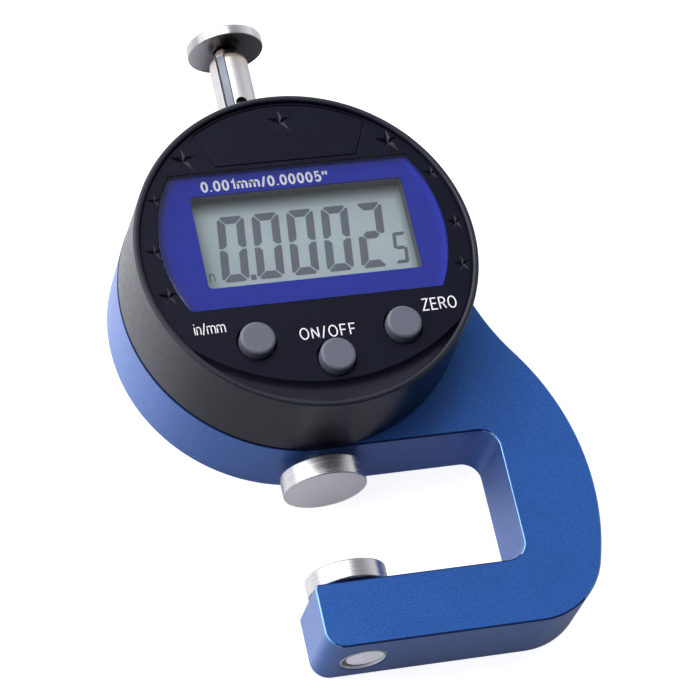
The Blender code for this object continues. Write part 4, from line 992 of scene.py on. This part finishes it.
def segment_shapes(width, height, thick, gap):
    """Outlines of the seven segments of one digit, from its lower left corner."""
    cut = gap * 0.7
    shoulder = thick * 0.42
    mid = height / 2
    top = [
        (shoulder + cut, height), (width - shoulder - cut, height),
        (width - shoulder * 0.55 - cut, height - shoulder * 0.45), (width - thick - cut, height - thick),
        (thick + cut, height - thick), (shoulder * 0.55 + cut, height - shoulder * 0.45),
    ]
    left_high = [
        (0.0, height - shoulder - cut), (shoulder * 0.5, height - shoulder * 0.5 - cut),
        (thick, height - thick - cut), (thick, mid + thick * 0.55), (thick * 0.55, mid + gap * 0.9),
        (thick * 0.15, mid + gap * 0.9), (0.0, mid + gap * 1.4),
    ]
    middle = [
        (thick * 0.55 + cut, mid), (thick + cut, mid + thick / 2), (width - thick - cut, mid + thick / 2),
        (width - thick * 0.55 - cut, mid), (width - thick - cut, mid - thick / 2),
        (thick + cut, mid - thick / 2),
    ]

    def flipped(shape, over_x=False, over_y=False):
        return [(width - x if over_x else x, height - y if over_y else y) for x, y in shape]

    return {
        "top": top,
        "bottom": flipped(top, over_y=True),
        "left_high": left_high,
        "left_low": flipped(left_high, over_y=True),
        "right_high": flipped(left_high, over_x=True),
        "right_low": flipped(left_high, over_x=True, over_y=True),
        "middle": middle,
    }


LIT = {
    "0": ("top", "bottom", "left_high", "left_low", "right_high", "right_low"),
    "2": ("top", "right_high", "middle", "left_low", "bottom"),
    "5": ("top", "left_high", "middle", "right_low", "bottom"),
}
SLANT = math.tan(math.radians(6.2))
DIGIT_Y = -0.0031
DIGIT_PITCH = 0.00606
DIGIT_FIRST_X = -0.01465
DISPLAY_FILM = 0.00003
FILM_T = 0.00002


def add_digit(bm, figure, x, y, width, height, thick, gap):
    """One figure as thin plates on the display."""
    shapes = segment_shapes(width, height, thick, gap)
    for part in LIT[figure]:
        outline = [(x + px + py * SLANT, y + py) for px, py in shapes[part]]
        add_plate(bm, softened([(px, py, thick * 0.10) for px, py in outline], 2, closed=True))


def add_plate(bm, outline):
    low = LCD_TOP_Z + DISPLAY_FILM
    joined(bm, slab(outline, low, low + FILM_T))


def make_digits():
    """Reading on the display: five large figures, a small one and the point."""
    bm = bmesh.new()
    for index, figure in enumerate("00002"):
        x = DIGIT_FIRST_X + index * DIGIT_PITCH
        add_digit(bm, figure, x, DIGIT_Y, 0.0047, 0.0123, 0.00138, 0.00020)
    add_digit(bm, "5", 0.01560, DIGIT_Y + 0.00025, 0.0024, 0.0059, 0.00060, 0.00003)
    add_plate(bm, rounded_rectangle((-0.00920, DIGIT_Y + 0.0005), 0.0009, 0.0010, 0.0001, 2))
    finished("display_figures", bm, FACE_PLACE, [SEGMENT], "gauge_body")


def make_keys():
    """Round buttons, each with a flange inside the housing."""
    top = FACE_Z + BUTTON_RISE
    flange_top = FACE_BACK_Z - CLEAR
    for node, (name, body, shift) in BUTTONS.items():
        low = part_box(node)[0].z
        flange_r = radius_of(node)
        profile = softened(
            [
                (0.0, low, 0.0), (0.0014, low, 0.0002), (0.0014, flange_top - 0.0008, 0.0),
                (flange_r, flange_top - 0.0008, 0.0001), (flange_r, flange_top, 0.0001),
                (BUTTON_R, flange_top, 0.0), (BUTTON_R, top, 0.00055), (0.0, top, 0.0),
            ],
            7,
        )
        place = FACE_PLACE @ at(*button_place(node, shift))
        finished(name, turned(profile), place, [KEY_GREY], body, [node])


# Printed signs, one unit high: each one's width and pen strokes
X_HEIGHT = 0.73
ARCH = 0.50
STEM = [(0.0, 0.0), (0.0, X_HEIGHT)]
ARCHES = [[*oval(x, ARCH, 0.23, X_HEIGHT - ARCH, 180.0, 0.0), (x + 0.23, 0.0)] for x in (0.23, 0.69)]
SIGNS = {
    "0": (0.54, [oval(0.27, 0.5, 0.27, 0.5, steps=24)]),
    "1": (0.26, [[(0.0, 0.74), (0.14, 0.82), (0.26, 1.0), (0.26, 0.0)]]),
    "5": (
        0.52, [[(0.47, 1.0), (0.10, 1.0), (0.04, 0.50), *oval(0.24, 0.32, 0.28, 0.32, 122.0, -146.0, 18)]]
    ),
    "m": (0.92, [STEM, *ARCHES]),
    "n": (0.46, [STEM, ARCHES[0]]),
    "i": (0.0, [STEM, [(0.0, 0.92), (0.0, 1.03)]]),
    ".": (0.02, [[(0.0, -0.04), (0.0, 0.08)]]),
    "/": (0.30, [[(0.0, -0.06), (0.30, 1.04)]]),
    '"': (0.34, [[(0.0, 0.62), (0.0, 1.0)], [(0.34, 0.62), (0.34, 1.0)]]),
    "O": (0.70, [oval(0.35, 0.5, 0.35, 0.5, steps=28)]),
    "N": (0.56, [[(0.0, 0.0), (0.0, 1.0)], [(0.0, 0.98), (0.56, 0.02)], [(0.56, 0.0), (0.56, 1.0)]]),
    "F": (0.48, [[(0.0, 0.0), (0.0, 1.0), (0.48, 1.0)], [(0.0, 0.52), (0.42, 0.52)]]),
    "Z": (0.56, [[(0.02, 1.0), (0.54, 1.0), (0.0, 0.0), (0.56, 0.0)]]),
    "E": (0.50, [[(0.50, 1.0), (0.0, 1.0), (0.0, 0.0), (0.52, 0.0)], [(0.0, 0.52), (0.46, 0.52)]]),
    "R": (
        0.55,
        [
            [(0.0, 0.0), (0.0, 1.0), *oval(0.28, 0.75, 0.24, 0.25, 90.0, -90.0, 10), (0.0, 0.50)],
            [(0.28, 0.50), (0.55, 0.0)],
        ],
    ),
}
RESOLUTION = '0.001mm/0.00005"'


def pen_stroke(bm, points, width, z):
    """Flat raised band of even width along a line; a line that ends where it starts is closed."""
    line = [Vector(point) for point in points]
    closed = (line[0] - line[-1]).length < 1e-9
    if closed:
        line = line[:-1]
    count = len(line)
    sides = []
    for index, here in enumerate(line):
        before = line[index - 1] if closed or index else None
        after = line[(index + 1) % count] if closed or index < count - 1 else None
        into = (here - before).normalized() if before else (after - here).normalized()
        out = (after - here).normalized() if after else into
        across = Vector((-(into.y + out.y), into.x + out.x)).normalized()
        reach = width / 2 / max(0.45, across.dot(Vector((-into.y, into.x))))
        sides.append([bm.verts.new((*(here + across * reach * side), z)) for side in (-1.0, 1.0)])
    pairs = zip(sides, sides[1:] + sides[:1] if closed else sides[1:])
    faces = [bm.faces.new((a[0], b[0], b[1], a[1])) for a, b in pairs]
    made = bmesh.ops.extrude_face_region(bm, geom=faces)
    raised = [item for item in made["geom"] if isinstance(item, bmesh.types.BMVert)]
    bmesh.ops.translate(bm, verts=raised, vec=(0.0, 0.0, FILM_T))


def lettering(name, words, left, right, low, high, z, weight, spacing, material):
    """Printed words from pen strokes, fitted into a rectangle; the weight is a share of the height."""
    tall = (high - low) / (1.0 + weight)
    pen = weight * tall
    wide = sum(SIGNS[sign][0] for sign in words)
    gap = spacing + weight
    squeeze = (right - left - pen) / ((wide + gap * (len(words) - 1)) * tall)
    bm = bmesh.new()
    x = left + pen / 2
    for sign in words:
        width, strokes = SIGNS[sign]
        for stroke in strokes:
            placed = [(x + px * tall * squeeze, low + pen / 2 + py * tall) for px, py in stroke]
            pen_stroke(bm, placed, pen, z)
        x += (width + gap) * tall * squeeze
    finished(name, bm, FACE_PLACE, [material], "gauge_body")


def make_lettering():
    """Words on the face, the resolution on the print and the unit mark on the display."""
    face = FACE_Z + 0.000005
    behind = MASK_TOP_Z + 0.000005
    film = LCD_TOP_Z + DISPLAY_FILM
    for row in (
        ("legend_units", "in/mm", -0.0220, -0.0167, -0.0138, -0.0117, face, 0.095, 0.15, PRINT_WHITE),
        ("legend_power", "ON/OFF", -0.0046, 0.0051, -0.0167, -0.0145, face, 0.115, 0.20, PRINT_WHITE),
        ("legend_zero", "ZERO", 0.0172, 0.0233, -0.0138, -0.0115, face, 0.11, 0.16, PRINT_WHITE),
        ("legend_resolution", RESOLUTION, -0.0155, 0.0067, 0.0128, 0.0149, behind, 0.22, 0.16, PRINT_BRIGHT),
        ("display_unit", "n", -0.0167, -0.0157, -0.0028, -0.0006, film, 0.12, 0.1, SEGMENT_FAINT),
    ):
        lettering(*row)


# Spindle line

def make_cap():
    """Lifting cap: a thin disc with painted shade to -X and a polished underside in painted reflection."""
    radius = radius_of("lift_cap")
    low, high = ends_of("lift_cap")
    profile = softened(
        [
            (0.0, low + 0.0013, 0.0), (0.0013, low + 0.0013, 0.0), (0.0013, low, 0.00005),
            (radius, low, 0.00018), (radius, high, 0.00030), (radius - 0.0012, high, 0.0),
            (radius - 0.0014, high - 0.00012, 0.0), (0.0, high - 0.00012, 0.0),
        ],
        4,
    )
    disc = turned(profile, DISC_STEPS)
    for face in disc.faces:
        face.material_index = 1 if face.normal.z < -0.9 else 0
    finishes = (CAP_STEEL, CAP_UNDER)
    finished("cap_disc", disc, SPINDLE_PLACE, finishes, "spindle_body", ["lift_cap"])


def make_sleeve():
    """Lifting sleeve with a round shoulder, a cross hole and a key in its slot."""
    radius = radius_of("lift_sleeve")
    bore = 0.00245
    low, high = ends_of("lift_sleeve")
    high += SLEEVE_SHOULDER
    wall = radius - bore
    profile = softened([(bore, low, 0.0), (radius, low, 0.0001), (radius, high, 0.0)], 4)[:-1]
    for step in range(13):
        angle = math.radians(90.0 * step / 12)
        profile.append((bore + wall * math.cos(angle), high - SHOULDER_DROP * (1.0 - math.sin(angle))))
    slot_turn = Matrix.Rotation(math.radians(SLOT_ANGLE), 4, "Z")
    slot = slab(rounded_rectangle((0.0, -0.0040), 0.0019, 0.0080, 0.0001, 2), high - 0.0190, high + 0.0030)
    moved(slot, slot_turn)
    hole = cylinder(0.0011, 0.0, 0.0080, SCREW_STEPS)
    hole_y = ends_of("lift_cap")[0] - 0.0122
    moved(hole, at(0.0, 0.0, hole_y) @ Matrix.Rotation(math.pi / 2, 4, "X"))
    sleeve = carved(turned(profile), [slot, hole])
    for face in sleeve.faces:
        centre = face.calc_center_median()
        in_hole = math.hypot(centre.x, centre.z - hole_y) < 0.0012 and centre.y < 0.0
        # The cross hole's walls take a dark finish: painted shade inside the hole.
        face.material_index = 1 if in_hole and abs(face.normal.y) < 0.5 else 0
    finishes = (SLEEVE_STEEL, HOLE_SHADE)
    finished("stem_sleeve", sleeve, SPINDLE_PLACE, finishes, "spindle_body", ["lift_sleeve"])
    key = rounded_rectangle((0.0, -0.00265), 0.0015, 0.0010, 0.00015, 3)
    tip = rounded_rectangle((0.0, -0.00230), 0.0013, 0.0006, 0.00015, 3)
    strip = prism([(key, high - 0.0188), (key, high - 0.0004), (key, high + 0.0002), (tip, high + 0.0011)])
    for face in strip.faces:
        face.material_index = 1 if face.calc_center_median().z > high - 0.0004 else 0
    moved(strip, slot_turn)
    finished("slot_strip", strip, SPINDLE_PLACE, (KEY_STRIP, STRIP_TIP), "spindle_body")


def make_rod():
    """Spindle with a spigot at either end, for the anvil and for the cap."""
    radius = radius_of("spindle")
    low, high = ends_of("spindle")
    spigot_r, spigot = 0.0012, 0.0013
    profile = softened(
        [
            (0.0, low, 0.0), (spigot_r, low, 0.0001), (spigot_r, low + spigot - ANVIL_TRIM, 0.0),
            (radius, low + spigot - ANVIL_TRIM, 0.0001), (radius, high - spigot, 0.0001),
            (spigot_r, high - spigot, 0.0), (spigot_r, high, 0.0001), (0.0, high, 0.0),
        ],
        3,
    )
    rod = turned(profile)
    finished("spindle_rod", rod, SPINDLE_PLACE, [ROD_STEEL], "spindle_body", ["spindle"])


def make_anvils():
    """Upper anvil, lapped face below; lower anvil, lapped face above; lapped faces lightened as painted
    light.
    """
    radius = radius_of("upper_anvil")
    low, high = ends_of("upper_anvil")
    high -= ANVIL_TRIM
    profile = softened(
        [
            (0.0, low, 0.0), (radius, low, 0.00022), (radius, high, 0.00030), (0.0015, high, 0.0),
            (0.0015, high - 0.0013 + ANVIL_TRIM, 0.0), (0.0, high - 0.0013 + ANVIL_TRIM, 0.0),
        ],
        4,
    )
    moving = turned(profile, DISC_STEPS)
    for face in moving.faces:
        face.material_index = 1 if face.normal.z < -0.98 else 0
    finishes = (ANVIL_STEEL, ANVIL_LAP_LIT)
    finished("anvil_moving", moving, SPINDLE_PLACE, finishes, "spindle_body", ["upper_anvil"])
    radius = radius_of("lower_anvil")
    low, high = ends_of("lower_anvil")
    profile = softened(
        [
            (0.0, low + 0.0021, 0.0), (0.0023, low + 0.0021, 0.0), (0.0023, low, 0.0),
            (radius, low, 0.00030), (radius, high, 0.00030), (0.0, high, 0.0),
        ],
        4,
    )
    fixed = turned(profile, DISC_STEPS)
    for face in fixed.faces:
        # Top face lapped and lighter as painted light; the rounded edge dark as painted shade.
        face.material_index = 2 if face.normal.z > 0.98 else 1 if face.normal.z > 0.2 else 0
    finishes = (ANVIL_STEEL, ANVIL_EDGE_SHADE, ANVIL_LAP_LIT)
    finished("anvil_fixed", fixed, SPINDLE_PLACE, finishes, "gauge_body", ["lower_anvil"])


def make_plug():
    """Milky dome, a little off the middle, in a recess with painted shade and a painted-highlight lip."""
    radius = radius_of("anvil_plug") + PLUG_EXTRA
    high = ends_of("anvil_plug")[1]
    floor = ARM_BOTTOM_Y + 0.00045
    profile = [(0.0, floor), (radius - 0.00040, floor)]
    profile += arc((radius - 0.00018, ARM_BOTTOM_Y + 0.00018), 0.00018, 180, 360, 8)
    profile += [(radius, high), (0.0, high)]
    plug = turned(profile)
    # Front faces: the lip as painted highlight, the flat ring round the dome as painted shade.
    for face in plug.faces:
        front = face.calc_center_median().z < floor + 0.0001
        face.material_index = (2 if face.normal.z < -0.98 else 1) if front else 0
    dome_r = radius - 0.00050
    crown = 0.00062
    crown_r = (dome_r ** 2 + crown ** 2) / (2 * crown)
    edge_angle = math.degrees(math.asin(dome_r / crown_r))
    bow = arc((0.0, floor + 0.0001 - crown + crown_r), crown_r, -90, -90 + edge_angle, 14)
    bow[0] = (0.0, bow[0][1])
    dome = turned([*bow, (dome_r, floor + 0.0006), (0.0, floor + 0.0006)])
    joined(plug, moved(dome, at(0.00034, -0.00004)))
    place = at(PLUG_SHIFT[0], 0.0, PLUG_SHIFT[1]) @ SPINDLE_PLACE
    finishes = (PLUG, PLUG_LIP_HIGHLIGHT, PLUG_GROOVE_SHADE)
    finished("arm_plug", plug, place, finishes, "gauge_body", ["anvil_plug"])


def make_spring():
    """Return spring as a round wire."""
    low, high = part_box("return_spring")
    wire = 0.00022
    centre_x, centre_z = (low.x + high.x) / 2, (low.z + high.z) / 2
    coil = (high.x - low.x) / 2 - wire
    turns, steps = 13, 24
    ring = bmesh.new()
    bmesh.ops.create_circle(ring, cap_ends=False, radius=wire, segments=8)
    moved(ring, at(coil, 0.0) @ Matrix.Rotation(math.pi / 2, 4, "X"))
    rise = (high.y - low.y - 2 * wire) / turns
    bmesh.ops.spin(
        ring, geom=ring.verts[:] + ring.edges[:], cent=(0.0, 0.0, 0.0), axis=(0.0, 0.0, 1.0),
        dvec=(0.0, 0.0, rise / steps), angle=math.tau * turns, steps=turns * steps,
    )
    ends = [edge for edge in ring.edges if len(edge.link_faces) == 1]
    bmesh.ops.holes_fill(ring, edges=ends, sides=8)
    place = at(centre_x, low.y + wire, centre_z) @ UPRIGHT_TO_Y
    spring = finished(
        "coil_spring", ring, place, [SCREW_STEEL], "gauge_body", ["return_spring"], 60.0
    )
    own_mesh(spring)


def dress_nodes():
    """Finishes of the CAD nodes that stay as they are."""
    alloy = plain("carriage_alloy", (0.50, 0.51, 0.53), (0.30, 0.45), 1.0)
    dark = plain("moulded_dark", (0.030, 0.030, 0.034), (0.40, 0.55))
    rubber = plain("strip_rubber", (0.060, 0.060, 0.062), (0.60, 0.75))
    nickel = plain("nickel_plate", (0.60, 0.58, 0.53), (0.22, 0.36), 1.0)
    scale = Finish("scale_bars", specular_ior_level=0.5)
    bars = put(
        scale.tree, "ShaderNodeTexWave", {"Vector": scale.place, "Scale": 320.0, "Distortion": 0.0},
        bands_direction="Y",
    )
    stripes = blended(scale.tree, bars.outputs["Fac"], (0.03, 0.16, 0.08), (0.55, 0.42, 0.16))
    scale.feed("Base Color", stripes)
    scale.roughness(0.28, 0.42, 900.0)
    housing_screws = [f"housing_screw_{number}" for number in range(1, 5)]
    finishes = (
        (BRASS, ["upper_bush", "lower_bush", "battery_contact", "battery_clip"]),
        (SCREW_STEEL, ["anvil_screw", "spring_pin", *housing_screws]),
        (nickel, ["switch_units", "switch_power", "switch_zero", "battery_cell"]),
        (dark, ["carriage_screw", "lcd_holder", "encoder_chip", "board_link"]),
        (BOARD, ["sensor_board", "main_board"]), (alloy, ["carriage"]), (scale.material, ["scale_strip"]),
        (ROD_STEEL, ["guide_rod"]), (DISPLAY, ["lcd_glass"]), (rubber, ["contact_strip"]),
    )
    for material, nodes in finishes:
        for node in nodes:
            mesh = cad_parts[node].data
            mesh.materials.clear()
            mesh.materials.append(material)


# Stage

def seen_straight(tree, rays):
    """One where the camera sees the surface itself, or through clear pieces only."""
    bounces = maths(tree, "ADD", rays["Diffuse Depth"], rays["Glossy Depth"])
    open_view = maths(tree, "LESS_THAN", bounces, 0.5)
    through = maths(tree, "MULTIPLY", rays["Is Transmission Ray"], open_view)
    return maths(tree, "MAXIMUM", rays["Is Camera Ray"], through)


def make_floor():
    """Pale floor that shows white but keeps a faint shadow."""
    bm = bmesh.new()
    bmesh.ops.create_grid(bm, x_segments=1, y_segments=1, size=3.0)
    mesh = bpy.data.meshes.new("floor")
    bm.to_mesh(mesh)
    bm.free()
    material = bpy.data.materials.new("floor_white")
    material.use_nodes = True
    tree = material.node_tree
    tree.nodes.clear()
    rays = put(tree, "ShaderNodeLightPath").outputs
    mirrored = maths(tree, "MULTIPLY", rays["Is Glossy Ray"], 0.14)
    seen = maths(tree, "MAXIMUM", seen_straight(tree, rays), mirrored)
    matt = put(tree, "ShaderNodeBsdfDiffuse", {"Color": (0.42, 0.42, 0.42, 1.0)})
    sheen = put(tree, "ShaderNodeBsdfAnisotropic", {"Color": (0.27, 0.27, 0.27, 1.0), "Roughness": 0.24})
    lit = put(tree, "ShaderNodeEmission", {"Strength": maths(tree, "MULTIPLY", seen, 0.86)})
    both = put(tree, "ShaderNodeAddShader", {0: matt.outputs[0], 1: lit.outputs[0]})
    whole = put(tree, "ShaderNodeAddShader", {0: both.outputs[0], 1: sheen.outputs[0]})
    out = put(tree, "ShaderNodeOutputMaterial")
    tree.links.new(whole.outputs[0], out.inputs["Surface"])
    mesh.materials.append(material)
    floor = bpy.data.objects.new("floor", mesh)
    floor.location.z = -0.00005
    bpy.context.scene.collection.objects.link(floor)


def make_world():
    """White surroundings, darker overhead and on the viewer's side."""
    world = bpy.data.worlds.new("studio")
    bpy.context.scene.world = world
    world.use_nodes = True
    tree = world.node_tree
    tree.nodes.clear()
    rays = put(tree, "ShaderNodeLightPath").outputs
    seen = seen_straight(tree, rays)
    direction = put(tree, "ShaderNodeTexCoord").outputs["Generated"]
    parts = put(tree, "ShaderNodeSeparateXYZ", {"Vector": direction})
    overhead = spread(tree, parts.outputs["Z"], 1.08, 0.36, 0.20, 0.72)
    back = spread(tree, parts.outputs["Y"], 0.04, 1.0, -0.60, 0.25)
    beside = spread(tree, parts.outputs["X"], 1.45, 1.0, -0.90, 0.50)
    room = maths(tree, "MULTIPLY", maths(tree, "MULTIPLY", overhead, back), beside)
    shown = put(tree, "ShaderNodeMix", {"Factor": seen}, data_type="FLOAT")
    tree.links.new(room, shown.inputs[2])
    shown.inputs[3].default_value = 1.0
    behind_glass = maths(tree, "GREATER_THAN", rays["Diffuse Depth"], 0.5)
    counted = maths(tree, "MULTIPLY", rays["Is Transmission Ray"], behind_glass)
    strength = maths(tree, "MULTIPLY", shown.outputs[0], maths(tree, "SUBTRACT", 1.0, counted))
    background = put(tree, "ShaderNodeBackground", {"Color": (1.0, 1.0, 1.0, 1.0)})
    tree.links.new(strength, background.inputs["Strength"])
    out = put(tree, "ShaderNodeOutputWorld")
    tree.links.new(background.outputs[0], out.inputs["Surface"])


def softbox(name, location, width, height, watts, aim=(0.0, -0.01, 0.015)):
    lamp = bpy.data.lights.new(name, "AREA")
    lamp.shape = "RECTANGLE"
    lamp.size = width
    lamp.size_y = height
    lamp.energy = watts
    holder = bpy.data.objects.new(name, lamp)
    holder.location = location
    holder.rotation_euler = (Vector(aim) - Vector(location)).to_track_quat("-Z", "Y").to_euler()
    holder.visible_transmission = False
    bpy.context.scene.collection.objects.link(holder)


def make_lights():
    softbox("key_left", (-1.00, 0.36, 0.54), 2.60, 1.60, 13.4)
    softbox("top_left", (-0.40, 0.44, 0.74), 1.00, 1.00, 7.8)


def make_camera():
    data = bpy.data.cameras.new("camera")
    data.sensor_width = 36.0
    data.lens = 170.98
    data.clip_start = 0.01
    data.clip_end = 20.0
    camera = bpy.data.objects.new("camera", data)
    right = Vector((0.95892148, -0.21044271, 0.1902195))
    up = Vector((0.10736718, 0.88992639, 0.44328694))
    back = Vector((-0.26256785, -0.40465404, 0.87596417))
    turn = Matrix((right, up, back)).transposed()
    camera.matrix_world = Matrix.Translation((-0.148363, -0.236125, 0.511511)) @ turn.to_4x4()
    bpy.context.scene.collection.objects.link(camera)
    bpy.context.scene.camera = camera


make_camera()
for make in (
    make_frame, make_back, make_housing, make_lid, make_panel, make_digits, make_keys, make_lettering,
    make_cap, make_sleeve, make_rod, make_anvils, make_plug, make_spring, dress_nodes, make_floor,
    make_world, make_lights,
):
    make()
bpy.context.scene.view_settings.view_transform = "Standard"
